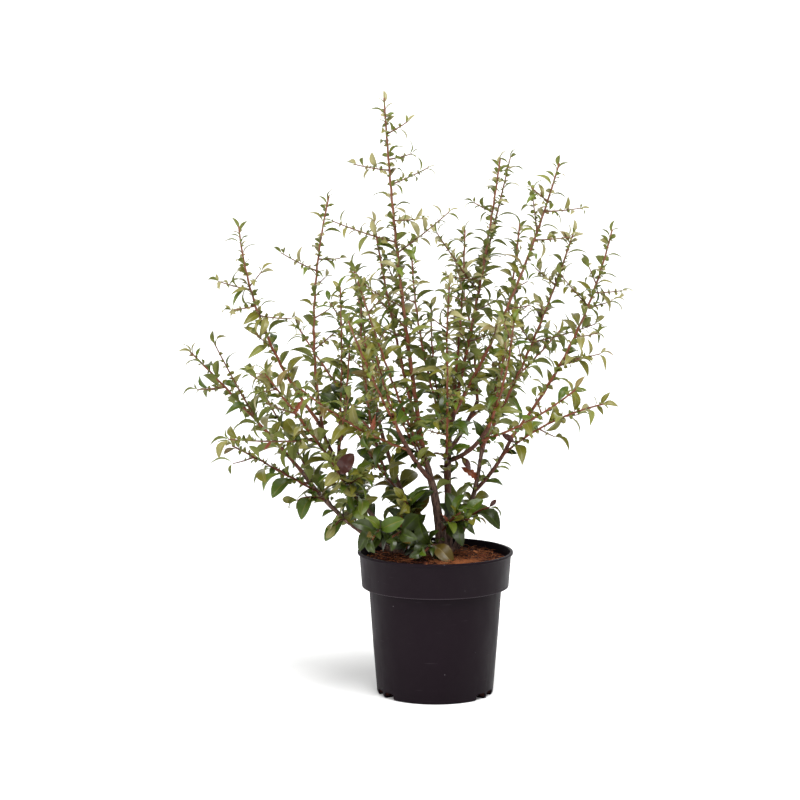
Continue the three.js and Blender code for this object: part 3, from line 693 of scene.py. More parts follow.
class Shrub:
    """Everything that grows: stems, shoots, twigs, leaves and stipules."""

    def __init__(self, looks):
        self.looks = looks
        self.limbs = limb_lines()
        self.masses = skeletons(self.limbs)
        self.space = Space(self.limbs, self.masses)
        self.stems = []
        self.twigs = []
        self.leaves = []
        self.stipules = []
        for index, name in enumerate(MASSES, start=1):
            self.grow_mass(name, index)
        self.grow_spurs()

    def leaf_size(self, height):
        """The length of a leaf at a height and its width as a share of that."""
        rise = crown_rise(height)
        looks = self.looks
        length = mix(looks.leaf_length_low, looks.leaf_length_high, rise)
        return length, mix(looks.leaf_slender_low, looks.leaf_slender_high, clamp(rise / SLENDER_FROM_RISE))

    def add_leaf(self, line, at, turn, spread, size, roll, owner, tone, broader=1, slender=None):
        """A leaf at a place along a line. Where it has no room it is tried again at the next turns."""
        root = line.place(at)
        face_up = line.tangent(at) + UP
        length, usual = self.leaf_size(root.z)
        slender = (slender or usual) * broader
        for attempt in range(LEAF_TRIES):
            direction = (line.branch(at, turn + attempt * GOLDEN_TURN, spread) + UP * LEAF_LIFT).normalized()
            reach = length * size * LEAF_RETRY_SHRINK ** attempt
            across, normal = leaf_frame(direction, face_up, roll)
            widest = root + direction * (reach * 0.5) + normal * (reach * self.looks.leaf_arch)
            half = across * (reach * slender / 2)
            beyond = root + direction * reach * LEAF_TEST_PLACE
            points = [widest + half, widest - half, beyond, root + direction * reach]
            if self.space.has_room(points, owner, LEAF_STRAY):
                start = root + direction * line.radius(at) * LEAF_SINK
                self.leaves.append(Leaf(start, direction, face_up, roll, reach, reach * slender, tone))
                return

    def leaf_cluster(self, line, at, turn, count, size, owner, tone, random):
        """The leaves at one node: one long leaf, and smaller ones beside it on its spur."""
        rise = crown_rise(line.place(at).z)
        count = int(count * MASSES[owner]["fullness"] + next(random))
        for number in range(count):
            high_share = at_random(NEXT_LEAF_HIGH if number else FIRST_LEAF_HIGH, random)
            share = size * (1 - self.looks.spur_shrink * number) * mix(1, high_share, rise)
            roll = mix(LEAF_ROLL, LEAF_ROLL_HIGH, rise) * (2 * next(random) - 1)
            spread = mix(LEAF_SPREAD, LEAF_SPREAD_HIGH, rise) + LEAF_SPREAD_SCATTER * (next(random) - 0.5)
            spread -= LEAF_SPREAD_STEP * number
            broader = mix(LEAST_WIDTH, MOST_WIDTH, next(random))
            self.add_leaf(line, at, turn + number * LEAF_TURN, spread, share, roll, owner, tone, broader)

    def leaves_per_node(self, height):
        """How many leaves a node carries: more on the spurs low in the crown."""
        rise = crown_rise(height)
        if rise < SPURS_UP_TO_RISE:
            return self.looks.spur_leaves
        return 2 if rise < PAIRS_UP_TO_RISE else 1

    def add_stipules(self, line, owner, index, size):
        """Pairs of small round stipules along a line, on both sides of each node, with a small leaf now
        and then between them."""
        looks = self.looks
        random = seeded_numbers(index * SEEDS_PER_MASS + STIPULE_SEED)
        first_turn = 360 * next(random)
        step = STIPULE_STEP * size
        for node in range(1, int(line.length / step)):
            at = node * step / line.length
            root = line.place(at)
            turn = first_turn + node * GOLDEN_TURN
            shrink = size * (1 - STIPULE_SHRINK * at)
            for side in (-1, 1):
                length = looks.stipule_length * shrink * at_random(STIPULE_SIZES, random)
                direction = line.branch(at, turn + side * STIPULE_TURN, STIPULE_SPREAD)
                start = root + direction * line.radius(at) * STIPULE_SINK
                roll = side * mix(*STIPULE_ROLLS, next(random))
                tone = crown_rise(root.z) + STIPULE_TONE_SCATTER * next(random)
                tip = start + direction * length
                if root.z > looks.stipules_from and self.space.has_room([tip], owner, STIPULE_STRAY):
                    self.stipules.append(
                        Leaf(start, direction, line.tangent(at), roll, length, length * STIPULE_WIDTH, tone))
            if next(random) < looks.small_leaves:
                tone = leaf_tone(root.z, owner) + SMALL_LEAF_TONE_SCATTER * next(random)
                small = SMALL_LEAF_SIZE * shrink * at_random(SMALL_LEAF_SIZES, random)
                roll = SMALL_LEAF_ROLL * (2 * next(random) - 1)
                self.add_leaf(
                    line, at, turn, SMALL_LEAF_SPREAD, small, roll, owner, tone, slender=SMALL_LEAF_WIDTH)

    def twig_leaves(self, twig, random, owner, tone):
        """The leaves along a twig, ending in one at its tip."""
        rise = crown_rise(twig.foot.z)
        step = mix(TWIG_LEAF_STEP, TWIG_LEAF_STEP_HIGH, rise) / math.sqrt(MASSES[owner]["fullness"])
        count = max(2, round(twig.length / step))
        first_turn = 360 * next(random)
        for node in range(1, count + 1):
            at = (node - TWIG_LEAF_SETBACK) / count
            size = 1 - LEAF_TIP_SHRINK * at + TWIG_LEAF_SCATTER * next(random)
            size *= mix(1, HIGH_TWIG_LEAF_SIZE, rise)
            turn = first_turn + node * GOLDEN_TURN
            if node == count:
                end_size = size * mix(1, HIGH_TWIG_END_SIZE, rise)
                ends = (
                    (turn, LEAF_END_SPREAD, end_size, tone + END_TONE),
                    (turn + TWIG_END_TURN, LEAF_SPREAD, end_size * TWIG_END_SECOND, tone + TWIG_TONE),
                )
                for end_turn, spread, length_share, end_tone in ends:
                    self.add_leaf(
                        twig, END_LEAF_PLACE, end_turn, spread, length_share, TWIG_END_ROLL, owner, end_tone)
            self.leaf_cluster(twig, at, turn, 1, size, owner, tone + TWIG_TONE * at, random)

    def grow_twig(self, stem, at, turn, random, owner, finer, tone):
        """A twig with its leaves where there is room for it, and whether there is."""
        direction = stem.branch(at, turn, TWIG_SPREAD)
        share = (1 - TWIG_TAPER * at) * (TWIG_LEAST_SHARE + TWIG_SCATTER * next(random))
        length = max(TWIG_SHORTEST, TWIG_LENGTH * share * finer)
        twig = twig_line(stem.place(at), direction, length)
        if self.space.has_room([twig.place(place) for place in TWIG_TEST_PLACES], owner, 0.0):
            self.twigs.append(twig)
            self.twig_leaves(twig, random, owner, tone)
            return True
        return False

    def grow_mass(self, name, index):
        """Everything on one mass: its side shoots, its stem, the twigs and the thinner stem beside it."""
        stem, shoots = self.masses[name]
        first_twig = len(self.twigs)
        for number, shoot in enumerate(shoots):
            self.twigs.append(shoot)
            random = seeded_numbers(index * SEEDS_PER_MASS + SHOOT_SEED + number)
            tone = spray_tone(shoot.foot.z, name, self.looks.tone_scatter, random)
            self.twig_leaves(shoot, random, name, tone)
        self.grow_stem(stem, name, index, 0, TWIGS_UP_TO if shoots else stem.tip.z)
        if name in COMPANIONS:
            random = seeded_numbers(index * SEEDS_PER_MASS + COMPANION_SEED)
            self.grow_stem(companion_line(stem, random), name, index, COMPANION_SEED, 0)
        for number, twig in enumerate(self.twigs[first_twig:], start=1):
            self.add_stipules(twig, name, index + number * len(MASSES), TWIG_STIPULES)

    def grow_stem(self, stem, name, index, seed, twigs_up_to):
        """A stem by the rule: twigs at every few nodes up to a height, leaves at each node, and a star of
        small leaves at the tip."""
        self.stems.append(stem)
        for node in range(1, int(stem.length / NODE_STEP)):
            random = seeded_numbers(index * SEEDS_PER_MASS + seed + node)
            at = node * NODE_STEP / stem.length
            height = stem.place(at).z
            turn = index * MASS_TURN + node * GOLDEN_TURN + TURN_SCATTER * next(random)
            is_bare = at < BARE_FOOT and stem.foot.z > BARE_FROM
            place = node % TWIG_EVERY
            finer = 1 if place == TWIG_FIRST_NODE else FINE_TWIG_SHARE
            spray = seeded_numbers(index * SEEDS_PER_MASS + node // 2 + SPRAY_SEED)
            tone = spray_tone(height, name, self.looks.tone_scatter, spray)
            is_twig = place in (TWIG_FIRST_NODE, FINE_TWIG_NODE) and at < TWIG_END and not is_bare
            if is_twig:
                is_twig = height < twigs_up_to and self.grow_twig(stem, at, turn, random, name, finer, tone)
            size = 1 - LEAF_TIP_SHRINK * at ** 2
            count = 1 if is_twig or is_bare or seed else self.leaves_per_node(height)
            self.leaf_cluster(stem, at, turn + (180 if is_twig else 0), count, size, name, tone, random)
        self.add_stipules(stem, name, index + seed, 1)
        tone = leaf_tone(stem.tip.z, name) + END_TONE
        count = TUFT_END_LEAVES if name.startswith("tuft") else len(END_LEAVES)
        for number, (end_turn, spread, roll) in enumerate(END_LEAVES[:count]):
            turn = index * MASS_TURN + end_turn
            size = END_LEAF_SIZE - END_LEAF_SHRINK * number
            self.add_leaf(stem, END_LEAF_PLACE - END_LEAF_STEP * number, turn, spread, size, roll, name, tone)

    def grow_spurs(self):
        """A few leaves here and there on the limbs themselves."""
        for index, (name, line) in enumerate(self.limbs.items()):
            random = seeded_numbers(SPUR_SEED + index)
            share = 1 if name in FULL_SPURS else SPUR_SHARE
            for node in range(1, int(line.length / SPUR_STEP)):
                at = node * SPUR_STEP / line.length
                height = line.place(at).z
                turn = 360 * next(random)
                if next(random) > share or height < SPUR_FROM:
                    continue
                tone = spray_tone(height, "", self.looks.tone_scatter, random)
                for number, size in enumerate(SPUR_LEAVES):
                    spread = LEAF_SPREAD + SPUR_SCATTER * (next(random) - 0.5)
                    roll = LEAF_ROLL * (2 * next(random) - 1)
                    self.add_leaf(line, at, turn + number * SPUR_TURN, spread, size, roll, "", tone)


# Meshes

class Bits:
    """Vertices and faces of one piece, collected part by part before its mesh is made."""

    def __init__(self):
        self.vertices = []
        self.faces = []
        self.finishes = []
        self.count = 0

    def add(self, vertices, faces, finish=0):
        """Adds a part. finish is its material's number, or one number for each face."""
        self.faces.extend(tuple(self.count + corner for corner in face) for face in faces)
        self.finishes.extend([finish] * len(faces) if isinstance(finish, int) else finish)
        self.vertices.extend(vertices)
        self.count += len(vertices)

    def make(self, name, materials, crease=None):
        """The piece as an object. Edges sharper than crease degrees stay sharp."""
        mesh = bpy.data.meshes.new(name)
        mesh.from_pydata([tuple(place) for place in self.vertices], [], self.faces)
        for material in materials:
            mesh.materials.append(material)
        mesh.polygons.foreach_set("material_index", self.finishes)
        mesh.polygons.foreach_set("use_smooth", [True] * len(self.faces))
        if crease:
            mesh.set_sharp_from_angle(angle=math.radians(crease))
        mesh.update()
        piece = bpy.data.objects.new(name, mesh)
        bpy.context.scene.collection.objects.link(piece)
        return piece


def ring_faces(rings, sides, first=0):
    """The faces between neighbouring rings of the same number of sides."""
    faces = []
    for ring in range(rings - 1):
        for side in range(sides):
            near = first + ring * sides
            after = (side + 1) % sides
            faces.append((near + side, near + after, near + sides + after, near + sides + side))
    return faces


def add_bar(bits, line, sides, step, finish_for=None):
    """A round bar along a line, ending in a point. finish_for gives the finish at a place."""
    rings = max(3, round(line.length / step) + 1)
    vertices = []
    finishes = []
    for ring in range(rings):
        at = ring / (rings - 1)
        centre = line.place(at)
        tangent = line.tangent(at)
        radius = line.radius(at)
        for side in range(sides):
            vertices.append(centre + square_to(tangent, line.sideways, 360 * side / sides) * radius)
        if ring:
            finishes.extend([finish_for(centre) if finish_for else 0] * sides)
    vertices.append(line.place(1) + line.tangent(1) * line.radius(1))
    last = (rings - 1) * sides
    tip = rings * sides
    faces = ring_faces(rings, sides)
    for side in range(sides):
        faces.append((last + side, last + (side + 1) % sides, tip))
        finishes.append(finishes[-1])
    bits.add(vertices, faces, finishes)


SKIN, MIDRIB, UNDERSIDE = range(3)


class BladeForm:
    """The form of a leaf or stipule: rows along it as (place, width share), the points across it from -1
    to 1, the strip on top that is its midrib, how much it folds, and how far its tip falls."""

    def __init__(self, rows, across, midrib, fold, tip_fall):
        self.rows = np.array(rows)
        self.across = np.array(across)
        self.fold = fold
        self.tip_fall = tip_fall
        self.top = self.grid_faces(len(rows), len(across))
        self.under = [face[::-1] for face in self.top]
        strip = len(self.top) // (len(across) - 1)
        self.finishes = [
            MIDRIB if number // strip == midrib else SKIN for number in range(len(self.top))]

    @staticmethod
    def grid_faces(rows, columns):
        """The triangles between the root, the rows and the tip, strip by strip, seen from above."""
        tip = rows * columns + 1
        faces = []
        for column in range(columns - 1):
            first = 1 + column
            faces.append((0, first + 1, first))
            for row in range(rows - 1):
                here = first + row * columns
                faces.append((here, here + 1, here + 1 + columns))
                faces.append((here, here + 1 + columns, here + columns))
            last = first + (rows - 1) * columns
            faces.append((last, last + 1, tip))
        return faces

    def add(self, bits, leaf, arch, curl):
        """Adds a leaf of this form, arched along its length, folded along its midrib and curled."""
        across, normal = leaf_frame(leaf.direction, leaf.face_up, leaf.roll)
        across, normal, along = np.array(across), np.array(normal), np.array(leaf.direction)
        places = self.rows[:, 0]
        half = leaf.width / 2 * self.rows[:, 1]
        rise = (arch * 4 * places * (1 - places) - self.tip_fall * places ** 3) * leaf.length
        twist = curl * places
        flat = half[:, None] * self.across[None]
        lift = rise[:, None] + half[:, None] * np.abs(self.across)[None] * self.fold
        points = (
            (places * leaf.length)[:, None, None] * along
            + (flat * np.cos(twist)[:, None])[..., None] * across
            + (lift + flat * np.sin(twist)[:, None])[..., None] * normal
        )
        tip = along * leaf.length - normal * (self.tip_fall * leaf.length)
        top = np.vstack([np.zeros((1, 3)), points.reshape(-1, 3), tip[None]]) + np.array(leaf.root)
        under = top.copy()
        inner = np.tile(1 - self.across ** 2, len(places))
        under[1:-1] -= normal * (LEAF_THICKNESS * inner)[:, None]
        bits.add(list(top), self.top, self.finishes)
        bits.add(list(under), self.under, [UNDERSIDE] * len(self.under))


BROAD_LEAF = BladeForm(
    rows=((0.09, 0.08), (0.22, 0.38), (0.40, 0.76), (0.58, 0.98), (0.74, 0.97), (0.88, 0.68), (0.96, 0.34)),
    across=(-1, -0.55, -0.05, 0.05, 0.55, 1), midrib=2, fold=0.42, tip_fall=0.20)
NARROW_LEAF = BladeForm(
    rows=((0.08, 0.14), (0.2, 0.56), (0.36, 0.94), (0.52, 1.0), (0.68, 0.86), (0.84, 0.5)),
    across=(-1, -0.55, -0.06, 0.06, 0.55, 1), midrib=2, fold=0.32, tip_fall=0.22)
TOOTHED_LEAF = BladeForm(
    rows=(
        (0.05, 0.34), (0.15, 0.64), (0.19, 0.59), (0.29, 0.85), (0.33, 0.80), (0.43, 0.98), (0.47, 0.93),
        (0.58, 1.0), (0.62, 0.94), (0.72, 0.93), (0.76, 0.86), (0.85, 0.74), (0.89, 0.64), (0.96, 0.40),
    ),
    across=(-1, -0.55, -0.05, 0.05, 0.55, 1), midrib=2, fold=0.45, tip_fall=0.3)
CRUMPLED_LEAF = BladeForm(
    rows=(
        (0.06, 0.3), (0.17, 0.75), (0.24, 0.5), (0.36, 0.95), (0.46, 0.62), (0.58, 1.0), (0.68, 0.58),
        (0.8, 0.8), (0.92, 0.35),
    ),
    across=(-1, -0.45, 0.05, 0.15, 0.5, 0.85), midrib=2, fold=0.8, tip_fall=0.45)
STIPULE = BladeForm(
    rows=((0.10, 0.5), (0.35, 0.95), (0.62, 1.0), (0.86, 0.66)), across=(-1, 0, 1), midrib=None, fold=0.3,
    tip_fall=0.2)


def add_bark_tube(bits, line, sides, step, depth, fissure, foot_length, seed):
    """A limb with its bark in relief: fissures that run along it, low rings where leaves once stood,
    and lobes in the flare of its foot."""
    rings = round((line.length + foot_length) / step) + 1
    shift = Vector([seed * share for share in GRAIN_SHIFT])
    vertices = []
    for ring in range(rings):
        along = -foot_length + ring * step
        at = clamp(along / line.length)
        tangent = line.tangent(at)
        centre = line.place(at) + tangent * min(along, 0.0)
        radius = line.radius(at) * BARK_GROWTH
        flare = line.flare * math.exp(-max(along, 0) / ROOT_FLARE_HEIGHT)
        scar = max(0.0, 1 - abs(along % NODE_STEP - NODE_STEP / 2) / SCAR_REACH)
        for side in range(sides):
            turn = 360 * side / sides
            around = Vector((math.cos(math.radians(turn)), math.sin(math.radians(turn)), 0))
            grain = shift + around * (radius / fissure) + UP * (along / (fissure * GRAIN_STRETCH))
            ridge = abs(noise.noise(grain)) * 2 - 0.5 + 0.5 * noise.noise(grain * FINE_GRAIN)
            lobes = flare * ROOT_LOBE_DEPTH * math.cos(math.radians(ROOT_LOBES * turn + seed * LOBE_TURN))
            out = radius + lobes + depth * (ridge + SCAR_HEIGHT * scar)
            vertices.append(centre + square_to(tangent, line.sideways, turn) * out)
    faces = ring_faces(rings, sides)
    faces.append(tuple(range(sides))[::-1])
    faces.append(tuple((rings - 1) * sides + side for side in range(sides)))
    bits.add(vertices, faces)


def add_lathe(bits, profile, sides):
    """A profile of (radius, height) turned round the Z axis, from a point on the axis to another."""
    vertices = []
    inner = [place for place in profile if place[0] > 0]
    for radius, height in inner:
        for side in range(sides):
            angle = 2 * math.pi * side / sides
            vertices.append((radius * math.cos(angle), radius * math.sin(angle), height))
    faces = ring_faces(len(inner), sides)
    for ring, (_, height) in ((0, profile[0]), (len(inner) - 1, profile[-1])):
        middle = len(vertices)
        vertices.append((0, 0, height))
        for side in range(sides):
            corners = (ring * sides + side, ring * sides + (side + 1) % sides, middle)
            faces.append(corners if ring else corners[::-1])
    bits.add(vertices, faces)


def cut(piece, cutters):
    """Cuts the cutters out of a piece and removes them."""
    for cutter in cutters:
        modifier = piece.modifiers.new("cut", "BOOLEAN")
        modifier.operation = "DIFFERENCE"
        modifier.solver = "EXACT"
        modifier.object = cutter
    graph = bpy.context.evaluated_depsgraph_get()
    mesh = bpy.data.meshes.new_from_object(piece.evaluated_get(graph))
    piece.modifiers.clear()
    piece.data = mesh
    for cutter in cutters:
        bpy.data.objects.remove(cutter)


# Finishes: sizes in metres, and ramps as the values at which they start and end

BLACK = (0, 0, 0, 1)
WHITE = (1, 1, 1, 1)
SPECK_SPACING = 0.019
SPECK_RAMP = (0.024, 0.046)
SCRATCH_LENGTH = 0.034
SCRATCH_STRETCH = (1, 1, 26)
SCRATCH_RAMP = (0.755, 0.83)
SCUFF_SIZE = 0.022
SCUFF_STRETCH = (1, 1, 0.35)
SCUFF_RAMP = (0.35, 0.75)
SATIN = ((0.44, 0.44, 0.44, 1), (0.62, 0.62, 0.62, 1))
MOULD_GRAIN = 0.0011

# A painted highlight on the collar's lower edge, a paler band: how far over the edge the band ends and is
# full, and how deep it lies
EDGE_HIGHLIGHT_SPAN = (0.0016, 0.0006)
EDGE_HIGHLIGHT_DEPTH = 0.0016

WAXY_ROUGHNESS = 0.32
WAXY_SPECULAR = 0.27
GLOSSY_SPECULAR = 0.3
MIDRIB_ROUGHNESS = 0.5
UNDERSIDE_ROUGHNESS = 0.6
BARK_STRETCH = (1, 1, 0.22)
BARK_RAMP = (0.36, 0.66)
MIX_GRAIN = 0.0035
MIX_RAMP = (0.38, 0.66)

# The floor: how far from the middle of its painted shadow it grows white, and gives off painted light
SHADE_RAMP = (0.08, 0.3)
GLOW_RAMP = (0.1, 0.36)


def linear(colour):
    """An sRGB hex colour as linear red, green, blue and alpha."""
    parts = [((colour >> shift) & 0xFF) / 255 for shift in (16, 8, 0)]
    return tuple(
        part / 12.92 if part <= 0.04045 else ((part + 0.055) / 1.055) ** 2.4 for part in parts) + (1.0,)


def new_material(name, colour, roughness, specular=0.5):
    """A material with one shader, and that shader."""
    material = bpy.data.materials.new(name)
    material.use_nodes = True
    shader = material.node_tree.nodes["Principled BSDF"]
    shader.inputs["Base Color"].default_value = colour
    shader.inputs["Roughness"].default_value = roughness
    shader.inputs["Specular IOR Level"].default_value = specular
    return material, shader


def add_node(material, kind, settings=(), inputs=(), links=()):
    """A node with its settings, input values, and links as (input name, output socket)."""
    node = material.node_tree.nodes.new(kind)
    for name, value in dict(settings).items():
        setattr(node, name, value)
    for name, value in dict(inputs).items():
        node.inputs[name].default_value = value
    for name, socket in links:
        material.node_tree.links.new(socket, node.inputs[name])
    return node


def link(material, output, target):
    material.node_tree.links.new(output, target)


def object_place(material):
    """The place on the object in metres, as a socket."""
    return add_node(material, "ShaderNodeTexCoord").outputs["Object"]


def noise_of(material, place, size, detail=3.0, roughness=0.55, stretch=(1, 1, 1)):
    """Noise whose lumps are size metres across, as a socket."""
    scaled = add_node(
        material, "ShaderNodeMapping", inputs={"Scale": stretch}, links=[("Vector", place)])
    node = add_node(
        material, "ShaderNodeTexNoise",
        inputs={"Scale": 1 / size, "Detail": detail, "Roughness": roughness},
        links=[("Vector", scaled.outputs["Vector"])])
    return node.outputs["Fac"]


def between(material, socket, span, *colours):
    """A colour that runs from one to the other as the socket goes along the span."""
    ramp = add_node(material, "ShaderNodeValToRGB", links=[("Fac", socket)])
    for element, position, colour in zip(ramp.color_ramp.elements, span, colours):
        element.position = position
        element.color = colour
    return ramp.outputs["Color"]


def covered(material, under, over, share):
    """The colour of a socket, with another colour over it as far as the share."""
    both = add_node(
        material, "ShaderNodeMixRGB", inputs={"Color2": over}, links=[("Fac", share), ("Color1", under)])
    return both.outputs["Color"]


def add_relief(material, shader, height, strength, depth):
    """A fine relief of the surface, depth metres deep, from a socket that gives its height."""
    bump = add_node(
        material, "ShaderNodeBump", inputs={"Strength": strength, "Distance": depth},
        links=[("Height", height)])
    link(material, bump.outputs["Normal"], shader.inputs["Normal"])


def height_band(material, place, high, low):
    """1 in the band of heights just under low, fading out up to high, and 0 elsewhere."""
    height = add_node(material, "ShaderNodeSeparateXYZ", links=[("Vector", place)]).outputs["Z"]
    faded = add_node(
        material, "ShaderNodeMapRange", inputs={"From Min": high, "From Max": low}, links=[("Value", height)])
    under = add_node(
        material, "ShaderNodeMath", {"operation": "GREATER_THAN"}, inputs={1: low - EDGE_HIGHLIGHT_DEPTH},
        links=[(0, height)])
    both = add_node(
        material, "ShaderNodeMath", {"operation": "MULTIPLY"},
        links=[(0, faded.outputs["Result"]), (1, under.outputs["Value"])])
    return both.outputs["Value"]


def moulded_polypropylene(looks):
    """Black polypropylene, injection moulded. It gives the eye a satin black with a broad soft sheen, a fine
    grain from the mould, a few pale specks, scratches and scuffs from the nursery bench, and a painted
    highlight: a paler band along the collar's lower edge."""
    material, shader = new_material(
        "moulded black polypropylene", looks.plastic, roughness=0.5, specular=0.06)
    place = object_place(material)
    specks = add_node(
        material, "ShaderNodeTexVoronoi", inputs={"Scale": 1 / SPECK_SPACING}, links=[("Vector", place)])
    speckled = between(material, specks.outputs["Distance"], SPECK_RAMP, looks.dust, looks.plastic)
    scratches = noise_of(material, place, SCRATCH_LENGTH, detail=1.0, stretch=SCRATCH_STRETCH)
    scratched = between(material, scratches, SCRATCH_RAMP, BLACK, WHITE)
    # Painted highlight: a paler band along the collar's lower edge, in the colour that also paints the
    # scratches
    painted_edge_highlight = height_band(material, place, *(COLLAR_FOOT + height for height in EDGE_HIGHLIGHT_SPAN))
    colour = covered(material, covered(material, speckled, looks.edge, scratched), looks.edge, painted_edge_highlight)
    link(material, colour, shader.inputs["Base Color"])
    scuffs = noise_of(material, place, SCUFF_SIZE, detail=6.0, roughness=0.7, stretch=SCUFF_STRETCH)
    link(material, between(material, scuffs, SCUFF_RAMP, *SATIN), shader.inputs["Roughness"])
    grain = noise_of(material, place, MOULD_GRAIN, detail=2.0)
    add_relief(material, shader, grain, strength=0.06, depth=0.0002)
    return material


def bark(name, dark, light, size):
    """Bark of a thin old stem, grown. It gives the eye a matt grey brown, darker in its long cracks."""
    material, shader = new_material(name, dark, roughness=0.82, specular=0.3)
    place = object_place(material)
    cracks = noise_of(material, place, size, detail=5.0, roughness=0.65, stretch=BARK_STRETCH)
    link(material, between(material, cracks, BARK_RAMP, dark, light), shader.inputs["Base Color"])
    add_relief(material, shader, cracks, strength=0.5, depth=0.0003)
    return material


def young_wood(name, colour):
    """Bark of this year's shoots, smooth and thin. It gives the eye a low sheen on rose brown."""
    material, _ = new_material(name, colour, roughness=0.5, specular=0.25)
    return material


def leaf_skin(name, colour, roughness=WAXY_ROUGHNESS, specular=WAXY_SPECULAR):
    """The skin of a firm, waxy leaf, grown. It gives the eye a clear green with a soft gloss on top."""
    material, _ = new_material(name, colour, roughness, specular)
    return material


def coir_and_bark(looks):
    """Potting mix of coir, peat and shredded bark, mixed. It gives the eye a matt rusty brown, mottled and
    darker in its hollows: the mottling is the mix's own colour, and the dark of the hollows is partly painted
    shade."""
    material, shader = new_material(
        "potting mix of coir and bark", looks.mix_dark, roughness=0.95, specular=0.1)
    grains = noise_of(material, object_place(material), MIX_GRAIN, detail=6.0, roughness=0.75)
    # Partly painted shade: the noise that sinks the relief also makes the mix darker in its hollows
    colour = between(material, grains, MIX_RAMP, looks.mix_dark, looks.mix_light)
    link(material, colour, shader.inputs["Base Color"])
    add_relief(material, shader, grains, strength=0.9, depth=0.0012)
    return material


def shredded_fibre(name, colour):
    """Bark or coir husk, shredded and dried. It gives the eye a dull brown with no gloss."""
    material, _ = new_material(name, colour, roughness=0.9, specular=0.15)
    return material


def backdrop_with_painted_shadow_and_glow(looks):
    """A backdrop with a painted shadow and painted light. It gives the eye a plain white that is painted a
    little greyer beside the pot, a painted shadow, and away from the pot it glows, painted light that leaves
    no shadow of the crown."""
    material, shader = new_material(
        "backdrop with painted shadow and glow", looks.backdrop, roughness=0.9, specular=0.15)
    aside = add_node(
        material, "ShaderNodeVectorMath", {"operation": "SUBTRACT"},
        inputs={1: (-looks.shade_aside, looks.shade_behind, 0)}, links=[(0, object_place(material))])
    from_painted_shadow = add_node(
        material, "ShaderNodeVectorMath", {"operation": "LENGTH"},
        links=[(0, aside.outputs["Vector"])]).outputs["Value"]
    # Painted shadow: the floor's colour is greyer round a place beside and behind the pot
    link(
        material, between(material, from_painted_shadow, SHADE_RAMP, looks.floor, looks.backdrop),
        shader.inputs["Base Color"])
    # Painted light: away from the pot the backdrop glows, which hides the crown's shadow
    glow = add_node(
        material, "ShaderNodeMapRange",
        inputs={"From Min": GLOW_RAMP[0], "From Max": GLOW_RAMP[1], "To Max": looks.glow},
        links=[("Value", from_painted_shadow)])
    link(material, glow.outputs["Result"], shader.inputs["Emission Strength"])
    shader.inputs["Emission Color"].default_value = looks.backdrop
    return material


# Properties

def colour_property(name, description, colour):
    return bpy.props.FloatVectorProperty(
        name=name, description=description, default=linear(colour), size=4, subtype="COLOR", min=0, max=1)


def length_property(name, description, size):
    return bpy.props.FloatProperty(
        name=name, description=description, default=size, subtype="DISTANCE", unit="LENGTH", precision=5)


def share_property(name, description, share):
    return bpy.props.FloatProperty(name=name, description=description, default=share, subtype="FACTOR")


def power_property(name, description, power):
    return bpy.props.FloatProperty(name=name, description=description, default=power, unit="POWER")


def count_property(name, description, count):
    return bpy.props.IntProperty(name=name, description=description, default=count, min=0)


class QuincePotLooks(bpy.types.PropertyGroup):
    """Finish of the pot and of the mix in it."""

    plastic: colour_property("Plastic", "Colour of the pot's plastic", 0x130B11)
    dust: colour_property("Dust", "Colour of the dust specks on the pot", 0x5C585C)
    # Paints the scratches, and the painted highlight along the collar's lower edge
    edge: colour_property("Edge", "Colour of the scratches and of the painted highlight on the collar's lower edge", 0x322C30)
    sides: count_property("Sides", "Flat sides of the pot's round wall", 144)
    # The dark colour lies in the mix's hollows, partly as painted shade
    mix_dark: colour_property("Mix, dark", "Colour in the hollows of the potting mix, partly painted shade", 0x1C0E0B)
    mix_light: colour_property("Mix, light", "Colour of the potting mix on top", 0x43211B)
    chip_dark: colour_property("Chips, dark", "Colour of the dark bark chips", 0x281612)
    chip_rust: colour_property("Chips, rust", "Colour of the rusty coir chips", 0x60301F)
    chip_pale: colour_property("Chips, pale", "Colour of the pale fibres and chips", 0x965C38)
    chips: count_property("Chips", "How many chips lie on the mix", 900)
    fibres: count_property("Fibres", "How many coir fibres lie on the mix", 2200)
    roughness_height: length_property("Lumps", "Height of the lumps in the mix", 0.003)


class QuinceWoodLooks(bpy.types.PropertyGroup):
    """Finish of the stems and twigs."""

    old_dark: colour_property("Old bark, dark", "Colour in the cracks of the old bark", 0x241713)
    old_light: colour_property("Old bark, light", "Colour of the ridges of the old bark", 0x6C5246)
    bough_dark: colour_property("Bough bark, dark", "Colour in the cracks of the younger boughs", 0x301A13)
    bough_light: colour_property("Bough bark, light", "Colour of the younger boughs", 0x5C382A)
    brown: colour_property("Brown stem", "Colour of the stems low in the crown", 0x542A1A)
    russet: colour_property("Russet stem", "Colour of the stems halfway up", 0x683824)
    rose: colour_property("Rose stem", "Colour of the long shoots", 0x6E4533)
    twig_low: colour_property("Low twig", "Colour of the twigs low in the crown", 0x522C1A)
    twig_high: colour_property("High twig", "Colour of the twigs high in the crown", 0x603F2C)
    russet_from: length_property("Russet from", "Height from which stems are russet", 0.36)
    rose_from: length_property("Rose from", "Height from which stems are rose", 0.52)
    relief: length_property("Relief", "Depth of the bark's cracks on the oldest stems", 0.00045)
    crack_width: length_property("Crack width", "Distance between the cracks of the old bark", 0.0022)


